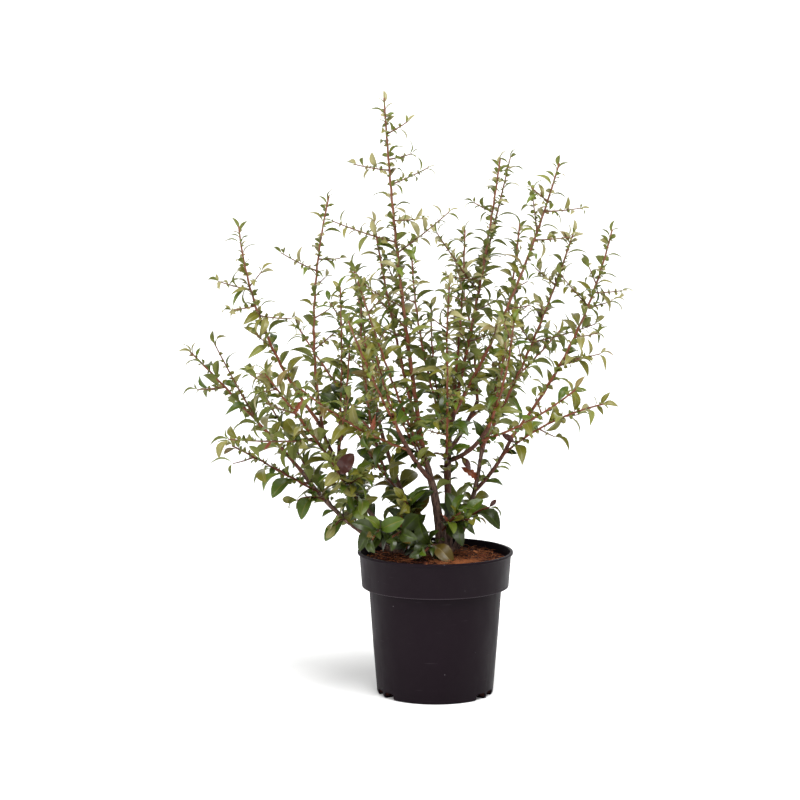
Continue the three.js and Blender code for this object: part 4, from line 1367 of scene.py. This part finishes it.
class QuinceLeafLooks(bpy.types.PropertyGroup):
    """Sizes and colours of the leaves."""

    leaf_length_low: length_property("Length, low", "Length of the leaves low in the crown", 0.045)
    leaf_length_high: length_property("Length, high", "Length of the leaves high in the crown", 0.036)
    leaf_slender_low: share_property("Width, low", "Width of the low leaves as a share of their length", 0.50)
    leaf_slender_high: share_property("Width, high", "Width of the high leaves as a share of it", 0.33)
    broad_from: share_property("Broad from", "Width share from which a leaf is spoon-shaped", 0.41)
    toothed_from: length_property("Toothed from", "Length from which a maroon leaf is toothed", 0.03)
    leaf_arch: share_property("Arch", "How far a leaf arches, as a share of its length", 0.15)
    spur_leaves: count_property("Spur leaves", "Leaves at each node low in the crown", 3)
    spur_shrink: share_property("Spur shrink", "How much smaller each further leaf of a spur is", 0.22)
    stipule_length: length_property("Stipules", "Length of the stipules low on a shoot", 0.0095)
    stipules_from: length_property("Stipules from", "Height over which nodes carry stipules", 0.27)
    small_leaves: share_property("Small leaves", "Share of the nodes with a small leaf more", 0.6)
    tone_scatter: share_property("Tone scatter", "How much the tone of sprays differs", 0.55)
    leaf_scatter: share_property("Leaf scatter", "How much the tone of neighbouring leaves differs", 0.35)
    dark: colour_property("Dark leaf", "Colour of the oldest leaves", 0x29330D)
    green: colour_property("Green leaf", "Colour of the full-grown leaves", 0x3C4D10)
    olive: colour_property("Olive leaf", "Colour of the younger leaves", 0x5B591A)
    light: colour_property("Light leaf", "Colour of the young leaves", 0x706C3A)
    tip: colour_property("Tip leaf", "Colour of the leaves at the tips of the shoots", 0x827D56)
    fresh: colour_property("Fresh leaf", "Colour of some fresh green leaves", 0x52601A)
    yellow: colour_property("Yellow leaf", "Colour of some pale yellow-green leaves", 0x6C7034)
    bronze: colour_property("Bronze leaf", "Colour of the bronze leaves high in the crown", 0x6C5E36)
    copper: colour_property("Copper leaf", "Colour of the bronze leaves low in the crown", 0x4E4018)
    maroon: colour_property("Maroon leaf", "Colour of the few leaves that have turned", 0x3A1A14)
    dead: colour_property("Dead leaf", "Colour of the few dead leaves", 0x6A3520)
    under: colour_property("Underside", "Colour of the undersides", 0x646A30)
    fresh_share: share_property("Fresh share", "Share of the leaves that are fresh green", 0.1)
    yellow_share: share_property("Yellow share", "Share of the leaves that are yellow-green", 0.06)
    bronze_share: share_property("Bronze share", "Share of the leaves that are bronze", 0.08)
    yellow_from: length_property("Yellow from", "Height over which leaves may be yellow-green", 0.3)


class QuinceStageLooks(bpy.types.PropertyGroup):
    """The floor, the lights and the camera."""

    backdrop: colour_property("Backdrop", "Colour of the floor and backdrop", 0xFFFFFF)
    # Painted shadow: the colour of the floor round the pot, greyest at the place that the next two distances
    # give
    floor: colour_property("Floor", "Colour of the painted shadow on the floor round the pot", 0xE4E4E4)
    shade_aside: length_property("Shade aside", "How far left of the pot the floor is greyest", 0.06)
    shade_behind: length_property("Shade behind", "How far behind the pot the floor is greyest", 0.04)
    key_power: power_property("Key", "Power of the main light", 180)
    fill_power: power_property("Fill", "Power of the fill light", 60)
    ambient: share_property("Ambient", "Strength of the light from all round", 0.42)
    # Painted light: how strongly the backdrop glows away from the pot
    glow: share_property("Glow", "Painted light that the backdrop gives off away from the pot", 0.25)
    camera_x: length_property("Camera across", "Place of the camera to the right", -0.0499)
    camera_distance: length_property("Camera distance", "Distance of the camera in front", 3.5)
    camera_height: length_property("Camera height", "Height of the camera", 0.8394)
    camera_tilt: bpy.props.FloatProperty(
        name="Camera tilt", description="How far the camera looks down", default=0.12, subtype="ANGLE")
    lens: bpy.props.FloatProperty(name="Lens", description="Focal length in millimetres", default=113.04)


PROPERTY_GROUPS = {
    "quince_pot": QuincePotLooks,
    "quince_wood": QuinceWoodLooks,
    "quince_leaves": QuinceLeafLooks,
    "quince_stage": QuinceStageLooks,
}


def settle(piece, slot, *nodes):
    """Fixes a piece to the plant, in place of CAD nodes."""
    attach(piece, "root")
    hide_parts(*nodes)


# Operators

def pot_profile():
    """The pot's wall and floor as (radius, height), from the middle of its underside to the middle of
    its floor."""
    def body(height):
        return mix(POT_BASE_RADIUS, POT_BODY_TOP_RADIUS, height / COLLAR_FOOT)

    def collar(height):
        return mix(POT_COLLAR_FOOT_RADIUS, POT_COLLAR_TOP_RADIUS, (height - COLLAR_FOOT) / POT_COLLAR_HEIGHT)

    lip_foot = POT_HEIGHT - POT_LIP_HEIGHT
    half_round = POT_FOOT_ROUND * POT_FOOT_BEND
    return [
        (0, 0),
        (POT_BASE_RADIUS - POT_FOOT_ROUND, 0),
        (POT_BASE_RADIUS - half_round, half_round),
        (POT_BASE_RADIUS, POT_FOOT_ROUND),
        (body(COLLAR_FOOT / 2) + POT_EDGE_EASE, COLLAR_FOOT / 2),
        (body(COLLAR_FOOT - POT_LIP_ROUND), COLLAR_FOOT - POT_LIP_ROUND),
        (body(COLLAR_FOOT) + POT_LIP_ROUND, COLLAR_FOOT),
        (POT_COLLAR_FOOT_RADIUS - POT_LIP_ROUND, COLLAR_FOOT),
        (POT_COLLAR_FOOT_RADIUS - POT_EDGE_EASE, COLLAR_FOOT + POT_EDGE_EASE),
        (POT_COLLAR_FOOT_RADIUS, COLLAR_FOOT + POT_LIP_ROUND),
        (collar(lip_foot), lip_foot - POT_LIP_ROUND),
        (collar(lip_foot) + POT_LIP_EASE, lip_foot),
        (POT_LIP_RADIUS - POT_LIP_EASE, lip_foot),
        (POT_LIP_RADIUS, lip_foot + POT_LIP_EASE),
        (POT_LIP_RADIUS, POT_HEIGHT - POT_LIP_ROUND),
        (POT_LIP_RADIUS - POT_EDGE_EASE, POT_HEIGHT - POT_EDGE_EASE),
        (POT_LIP_RADIUS - POT_LIP_ROUND, POT_HEIGHT),
        (collar(POT_HEIGHT) - POT_WALL + POT_INNER_EASE, POT_HEIGHT),
        (collar(POT_HEIGHT) - POT_WALL, POT_HEIGHT - POT_INNER_EASE),
        (collar(COLLAR_FOOT) - POT_WALL, COLLAR_FOOT + POT_WALL),
        (body(COLLAR_FOOT) - POT_WALL, COLLAR_FOOT + POT_WALL),
        (body(POT_FLOOR) - POT_WALL, POT_FLOOR),
        (0, POT_FLOOR),
    ]


def notch_cutter(turn):
    """The block that cuts one drain notch, with round upper corners."""
    half = NOTCH_WIDTH / 2
    arch = [(-half, -NOTCH_HEIGHT), (half, -NOTCH_HEIGHT)]
    for corner, first in ((1, 0), (-1, 90)):
        for step in range(NOTCH_ROUND_STEPS + 1):
            angle = math.radians(first + 90 / NOTCH_ROUND_STEPS * step)
            arch.append((
                corner * (half - NOTCH_ROUND) + NOTCH_ROUND * math.cos(angle),
                NOTCH_HEIGHT - NOTCH_ROUND + NOTCH_ROUND * math.sin(angle)))
    direction = heading_direction(turn, 0)
    across = heading_direction(turn + 90, 0)
    vertices = []
    for depth in (-NOTCH_REACH, NOTCH_DEPTH / 2):
        for sideways, height in arch:
            vertices.append(direction * (POT_BASE_RADIUS + depth) + across * sideways + UP * height)
    count = len(arch)
    bits = Bits()
    faces = ring_faces(2, count)
    faces.append(tuple(range(count))[::-1])
    faces.append(tuple(range(count, 2 * count)))
    bits.add(vertices, faces)
    return bits.make("notch_cutter", [])


def notch_cutters():
    return [notch_cutter(middle + side * NOTCH_HALF_TURN) for middle in NOTCH_TURNS for side in (-1, 1)]


class QUINCE_OT_pot(bpy.types.Operator):
    """Builds the nursery pot with its collar, rolled lip and drain notches"""

    bl_idname = "quince.pot"
    bl_label = "Build Pot"

    def execute(self, context):
        looks = context.scene.quince_pot
        bits = Bits()
        add_lathe(bits, pot_profile(), looks.sides)
        pot = bits.make("nursery_pot", [moulded_polypropylene(looks)])
        cut(pot, notch_cutters())
        pot.data.set_sharp_from_angle(angle=math.radians(POT_CREASE))
        settle(pot, "pot_plastic", "pot")
        return {"FINISHED"}


def soil_height(x, y, lumps):
    """The height of the mix at a place: level round the stems, lower at the wall, with lumps and grit."""
    from_axis = math.hypot(x, y)
    edge = POT_COLLAR_TOP_RADIUS - POT_WALL
    drop = SOIL_EDGE_DROP * clamp((from_axis - SOIL_FLAT_RADIUS) / (edge - SOIL_FLAT_RADIUS))
    coarse = noise.noise(Vector((x, y, 0)) / LUMP_SIZE)
    fine = noise.noise(Vector((x, y, 0.5)) / GRIT_SIZE)
    return SOIL_HEIGHT - drop + lumps * (LUMP_SHARE * coarse + GRIT_SHARE * fine)


def add_chip(bits, centre, size, turn, tilt, random, finish):
    """A flat, uneven chip of bark."""
    length, width, height = size
    turned = Euler((tilt[0], tilt[1], turn))
    vertices = []
    for z in (-0.5, 0.5):
        for x, y in ((-0.5, -0.5), (0.5, -0.5), (0.5, 0.5), (-0.5, 0.5)):
            jitter = at_random(CHIP_JITTER, random)
            place = Vector((x * length * jitter, y * width * (CHIP_WIDTH_BALANCE - jitter), z * height))
            place.rotate(turned)
            vertices.append(centre + place)
    faces = [(0, 3, 2, 1), (4, 5, 6, 7), (0, 1, 5, 4), (1, 2, 6, 5), (2, 3, 7, 6), (3, 0, 4, 7)]
    bits.add(vertices, faces, finish)


class QUINCE_OT_potting_mix(bpy.types.Operator):
    """Fills the pot with coir and bark mix, with chips and fibres on top"""

    bl_idname = "quince.potting_mix"
    bl_label = "Fill With Mix"

    def execute(self, context):
        looks = context.scene.quince_pot
        self.fill(looks)
        self.scatter(looks)
        return {"FINISHED"}

    def fill(self, looks):
        """The mix as one body, a little clear of the wall and the notches."""
        inside = POT_WALL + 2 * SEAT_GAP
        low = POT_FLOOR + SEAT_GAP
        shoulder = COLLAR_FOOT + POT_WALL + SEAT_GAP
        edge = mix(POT_COLLAR_FOOT_RADIUS, POT_COLLAR_TOP_RADIUS, SOIL_EDGE_RISE) - inside
        profile = [
            (0, low), (POT_BASE_RADIUS - inside, low), (POT_BODY_TOP_RADIUS - inside, shoulder),
            (POT_COLLAR_FOOT_RADIUS - inside, shoulder), (edge, SOIL_HEIGHT - SOIL_EDGE_DROP),
        ]
        top = [(edge * (SOIL_RINGS - ring) / SOIL_RINGS, SOIL_HEIGHT) for ring in range(1, SOIL_RINGS)]
        bits = Bits()
        add_lathe(bits, profile + top + [(0, SOIL_HEIGHT)], SOIL_SIDES)
        for number, place in enumerate(bits.vertices):
            if place[2] > SOIL_HEIGHT - SOIL_EDGE_DROP - SEAT_GAP:
                height = soil_height(place[0], place[1], looks.roughness_height)
                bits.vertices[number] = (place[0], place[1], height)
        mix_body = bits.make("potting_mix_body", [coir_and_bark(looks)])
        cut(mix_body, notch_cutters())
        settle(mix_body, "potting_mix", "potting_mix")

    def scatter(self, looks):
        """The loose chips and fibres, joined."""
        random = seeded_numbers(CHIP_SEED)
        bits = Bits()
        reach = POT_COLLAR_TOP_RADIUS - POT_WALL - SCATTER_EDGE
        self.scatter_chips(bits, looks, reach, random)
        self.scatter_fibres(bits, looks, reach, random)
        materials = [
            shredded_fibre("shredded bark, dark", looks.chip_dark),
            shredded_fibre("coir chip, rusty", looks.chip_rust),
            shredded_fibre("coir fibre, pale", looks.chip_pale),
        ]
        settle(bits.make("bark_chips_and_fibres", materials, CHIP_CREASE), "potting_mix", "potting_mix")

    def scatter_chips(self, bits, looks, reach, random):
        """Chips all over the mix, short ones by far the most."""
        for _ in range(looks.chips):
            from_axis = reach * math.sqrt(next(random))
            place = heading_direction(360 * next(random), 0) * from_axis
            lie = soil_height(place.x, place.y, looks.roughness_height)
            length = CHIP_LENGTHS[0] + CHIP_LENGTHS[1] * next(random) ** 3
            size = (length, length * at_random(CHIP_WIDTHS, random), at_random(CHIP_HEIGHTS, random))
            tilt = (CHIP_TILT * (next(random) - 0.5), CHIP_TILT * (next(random) - 0.5))
            centre = Vector((place.x, place.y, lie + CHIP_LIFTS[0] + CHIP_LIFTS[1] * next(random)))
            finish = min(CHIP_FINISHES - 1, int(next(random) ** CHIP_DARKNESS * CHIP_FINISHES))
            add_chip(bits, centre, size, 2 * math.pi * next(random), tilt, random, finish)

    def scatter_fibres(self, bits, looks, reach, random):
        """Fibres all over the mix, every few of them in the rusty patch."""
        patch = Vector((*SOIL_PATCH, 0))
        for number in range(looks.fibres):
            heading = heading_direction(360 * next(random), 0)
            in_patch = number % PATCH_EVERY == 0
            if in_patch:
                place = patch + heading * (SOIL_PATCH_RADIUS * next(random))
            else:
                place = heading * ((reach - FIBRE_EDGE) * math.sqrt(next(random)))
            lie = soil_height(place.x, place.y, looks.roughness_height)
            foot = Vector((place.x, place.y, lie + FIBRE_LIFT))
            length = at_random(FIBRE_LENGTHS, random)
            tip = foot + heading_direction(360 * next(random), FIBRE_RISE * next(random)) * length
            if math.hypot(tip.x, tip.y) > reach:
                continue
            bow = heading_direction(360 * next(random), FIBRE_BOW_RISE) * (length * FIBRE_BOW)
            palest = CHIP_FINISHES - 1
            finish = palest if in_patch else int(next(random) ** FIBRE_DARKNESS * CHIP_FINISHES)
            fibre = GrowthLine(foot, tip, bow, FIBRE_RADII)
            add_bar(bits, fibre, FIBRE_SIDES, length / FIBRE_STEPS, lambda place, finish=finish: finish)


class QUINCE_OT_limbs(bpy.types.Operator):
    """Builds the old stems and the boughs with their bark in relief"""

    bl_idname = "quince.limbs"
    bl_label = "Build Stems and Boughs"

    def execute(self, context):
        looks = context.scene.quince_wood
        lines = limb_lines()
        width = looks.crack_width
        old = [name for name, limb in LIMBS.items() if not limb["on"]]
        young = [name for name, limb in LIMBS.items() if limb["on"]]
        cracked = bark("old bark, cracked", looks.old_dark, looks.old_light, width)
        smooth = bark("young bark, smooth", looks.bough_dark, looks.bough_light, width)
        groups = (
            ("old_stems", "old_bark", old, cracked, OLD_SIDES, looks.relief, FOOT_IN_MIX),
            ("boughs", "young_bark", young, smooth, YOUNG_SIDES, looks.relief * YOUNG_RELIEF, 0.0),
        )
        for piece_name, slot, names, finish, sides, depth, foot_length in groups:
            bits = Bits()
            for seed, name in enumerate(names):
                add_bark_tube(bits, lines[name], sides, BARK_STEP, depth, width, foot_length, seed)
            settle(bits.make(piece_name, [finish]), slot, *names)
        return {"FINISHED"}


TINTS = ("dark", "green", "olive", "light", "tip")
GLOSSY_TINTS = ("dark", "green")
RARE_TINTS = ("fresh", "yellow", "bronze", "copper", "maroon", "dead")
MIDRIBS = {
    "dark": "green", "green": "olive", "olive": "light", "light": "tip", "tip": "tip", "fresh": "light",
    "yellow": "tip", "bronze": "tip", "copper": "bronze", "maroon": "maroon", "dead": "dead",
}


def leaf_tint(tone):
    """The green tint that a tone takes, the darkest at 0 and the palest from 1."""
    return TINTS[int(clamp(tone * len(TINTS), 0, len(TINTS) - 1))]


def pick_tint(leaf, looks, random):
    """The tint of a leaf: by its tone, or by chance one of the rare ones."""
    tint = leaf_tint(leaf.tone + looks.leaf_scatter * (next(random) - 0.5))
    chance = next(random)
    if chance < looks.fresh_share:
        return "fresh"
    if chance < looks.fresh_share + looks.bronze_share:
        return "bronze" if tint in ("light", "tip") else "copper"
    if chance > 1 - looks.yellow_share and leaf.root.z > looks.yellow_from:
        return "yellow"
    return tint


def add_tinted_leaf(leaves, leaf, looks, random, turned_to):
    """Adds a leaf to those of its tint, or of the one it has turned to, in the form that goes with it."""
    arch = looks.leaf_arch * (LEAST_ARCH + next(random))
    arch *= clamp(leaf.length / FULL_ARCH_LENGTH, SMALL_LEAF_ARCH)
    tint = pick_tint(leaf, looks, random)
    if turned_to:
        tint = turned_to
    form = BROAD_LEAF if leaf.width > looks.broad_from * leaf.length else NARROW_LEAF
    if tint == "maroon" and leaf.length > looks.toothed_from:
        form = TOOTHED_LEAF
    curl = LEAF_CURL * (next(random) - 0.5)
    if tint == "dead":
        form = CRUMPLED_LEAF
        arch *= CRUMPLED_ARCH
        curl *= CRUMPLED_CURL
    form.add(leaves[tint], leaf, arch, curl)


def seen_distance(leaf, x, z):
    """How far a leaf is from a place as seen from the front, and a little more if it is further back."""
    middle = leaf.root + leaf.direction * (leaf.length / 2)
    return math.hypot(middle.x - x, middle.z - z) + TURNED_DEPTH_SHARE * middle.y


def turn_leaves(leaves):
    """Gives the leaf that is seen nearest each named place, the front ones first, its size and tint."""
    turned = {}
    for tint, x, z, length, width in TURNED_LEAVES:
        free = (number for number in range(len(leaves)) if number not in turned)
        nearest = min(free, key=lambda number: seen_distance(leaves[number], x, z))
        direction = leaves[nearest].direction.copy()
        direction.y *= TURNED_FLATNESS
        leaves[nearest] = leaves[nearest]._replace(
            direction=direction.normalized(), face_up=TURNED_FACE, roll=0, length=length,
            width=length * width)
        turned[nearest] = tint
    return turned


class QUINCE_OT_foliage(bpy.types.Operator):
    """Grows the stems, twigs, leaves and stipules of every mass"""

    bl_idname = "quince.foliage"
    bl_label = "Grow Foliage"

    def execute(self, context):
        wood = context.scene.quince_wood
        looks = context.scene.quince_leaves
        shrub = Shrub(looks)
        self.build_wood(shrub, wood)
        self.build_leaves(shrub, looks)
        return {"FINISHED"}

    def build_wood(self, shrub, wood):
        """The stems of the masses and the twigs, each kind one piece."""
        stem_barks = [
            young_wood("brown stem bark", wood.brown),
            young_wood("russet stem bark", wood.russet),
            young_wood("rose stem bark", wood.rose),
        ]
        twig_barks = [
            young_wood("dark twig bark", wood.twig_low),
            young_wood("brown twig bark", wood.twig_high),
        ]
        stems = Bits()
        for line in shrub.stems:
            add_bar(
                stems, line, STEM_SIDES, NODE_STEP / 2,
                lambda place: (place.z > wood.russet_from) + (place.z > wood.rose_from))
        settle(stems.make("leafy_stems", stem_barks), "young_bark", *MASSES)
        twigs = Bits()
        for line in shrub.twigs:
            add_bar(
                twigs, line, TWIG_SIDES, TWIG_MESH_STEP, lambda place: int(place.z > wood.russet_from))
        settle(twigs.make("twigs", twig_barks), "young_bark", *MASSES)

    def build_leaves(self, shrub, looks):
        """Every leaf and stipule, one piece for each tint."""
        turned = turn_leaves(shrub.leaves)
        leaves = {tint: Bits() for tint in TINTS + RARE_TINTS}
        stipules = {tint: Bits() for tint in TINTS}
        for number, leaf in enumerate(shrub.leaves):
            add_tinted_leaf(leaves, leaf, looks, seeded_numbers(LEAF_SEED + number), turned.get(number))
        for leaf in shrub.stipules:
            STIPULE.add(stipules[leaf_tint(leaf.tone)], leaf, STIPULE_ARCH, 0)
        under = leaf_skin("leaf underside", looks.under, UNDERSIDE_ROUGHNESS)
        for tint, bits in leaves.items():
            kind, specular = ("glossy", GLOSSY_SPECULAR) if tint in GLOSSY_TINTS else ("waxy", WAXY_SPECULAR)
            skin = leaf_skin(f"{kind} leaf, {tint}", getattr(looks, tint), specular=specular)
            midrib = leaf_skin("midrib, " + tint, getattr(looks, MIDRIBS[tint]), MIDRIB_ROUGHNESS)
            skins = [skin, midrib, under]
            settle(bits.make("leaves_" + tint, skins), "leaves", *MASSES)
            if tint in stipules:
                settle(stipules[tint].make("stipules_" + tint, skins), "leaves", *MASSES)


# Stage, in metres, and the camera's sensor in millimetres

FLOOR_FRONT = -5.0
FLOOR_BACK = 2.2
FLOOR_HALF_WIDTH = 7.0
CURVE_RADIUS = 1.2
CURVE_STEPS = 12
WALL_HEIGHT = 4.5
KEY_PLACE = Vector((0.7, -1.6, 3.2))
KEY_SIZE = 2.2
FILL_PLACE = Vector((-2.2, -1.6, 1.6))
FILL_SIZE = 1.8
LIT_PLACE = Vector((0, 0, 0.4))
SENSOR_WIDTH = 36


class QUINCE_OT_stage(bpy.types.Operator):
    """Sets up the pale floor, the soft lights and the camera"""

    bl_idname = "quince.stage"
    bl_label = "Set Up Stage"

    def execute(self, context):
        looks = context.scene.quince_stage
        self.lay_backdrop(looks)
        self.hang_lights(context.scene, looks)
        self.place_camera(context.scene, looks)
        return {"FINISHED"}

    def lay_backdrop(self, looks):
        """A floor that curves up into a wall behind the plant."""
        profile = [(FLOOR_FRONT, 0.0)]
        for step in range(CURVE_STEPS + 1):
            angle = math.radians(90 * step / CURVE_STEPS)
            across = CURVE_RADIUS * math.sin(angle)
            profile.append((FLOOR_BACK + across, CURVE_RADIUS * (1 - math.cos(angle))))
        profile.append((FLOOR_BACK + CURVE_RADIUS, WALL_HEIGHT))
        vertices = [(x, y, z) for y, z in profile for x in (-FLOOR_HALF_WIDTH, FLOOR_HALF_WIDTH)]
        faces = [(2 * row, 2 * row + 1, 2 * row + 3, 2 * row + 2) for row in range(len(profile) - 1)]
        bits = Bits()
        bits.add(vertices, faces)
        bits.make("backdrop", [backdrop_with_painted_shadow_and_glow(looks)])

    def hang_lights(self, scene, looks):
        """A main light at the right, a fill light at the left, and soft light from all round."""
        world = bpy.data.worlds.new("soft room")
        world.use_nodes = True
        background = world.node_tree.nodes["Background"]
        background.inputs["Color"].default_value = WHITE
        background.inputs["Strength"].default_value = looks.ambient
        scene.world = world
        lights = (
            ("key_light", KEY_PLACE, looks.key_power, KEY_SIZE),
            ("fill_light", FILL_PLACE, looks.fill_power, FILL_SIZE),
        )
        for name, place, power, size in lights:
            data = bpy.data.lights.new(name, "AREA")
            data.energy = power
            data.size = size
            lamp = bpy.data.objects.new(name, data)
            lamp.location = place
            lamp.rotation_euler = (LIT_PLACE - place).to_track_quat("-Z", "Y").to_euler()
            scene.collection.objects.link(lamp)

    def place_camera(self, scene, looks):
        """The camera where the photo was taken from."""
        data = bpy.data.cameras.new("camera")
        data.lens = looks.lens
        data.sensor_width = SENSOR_WIDTH
        camera = bpy.data.objects.new("camera", data)
        camera.location = (looks.camera_x, -looks.camera_distance, looks.camera_height)
        camera.rotation_euler = (math.pi / 2 - looks.camera_tilt, 0, 0)
        scene.collection.objects.link(camera)
        scene.camera = camera
        scene.view_settings.view_transform = "Standard"


OPERATORS = (
    QUINCE_OT_pot,
    QUINCE_OT_potting_mix,
    QUINCE_OT_limbs,
    QUINCE_OT_foliage,
    QUINCE_OT_stage,
)


class QUINCE_PT_panel(bpy.types.Panel):
    """Lists the steps that build the potted quince"""

    bl_label = "Potted Quince"
    bl_space_type = "VIEW_3D"
    bl_region_type = "UI"
    bl_category = "Quince"

    def draw(self, context):
        for operator in OPERATORS:
            self.layout.operator(operator.bl_idname)
        for name, group in PROPERTY_GROUPS.items():
            box = self.layout.box()
            for setting in group.__annotations__:
                box.prop(getattr(context.scene, name), setting)


def register():
    for group in (*PROPERTY_GROUPS.values(), *OPERATORS, QUINCE_PT_panel):
        bpy.utils.register_class(group)
    for name, group in PROPERTY_GROUPS.items():
        setattr(bpy.types.Scene, name, bpy.props.PointerProperty(type=group))


def unregister():
    for name in PROPERTY_GROUPS:
        delattr(bpy.types.Scene, name)
    for group in (QUINCE_PT_panel, *reversed(OPERATORS), *PROPERTY_GROUPS.values()):
        bpy.utils.unregister_class(group)


def main():
    """Builds every piece in order."""
    register()
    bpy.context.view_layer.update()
    bpy.ops.quince.pot()
    bpy.ops.quince.potting_mix()
    bpy.ops.quince.limbs()
    bpy.ops.quince.foliage()
    bpy.ops.quince.stage()


if __name__ == "__main__":
    main()
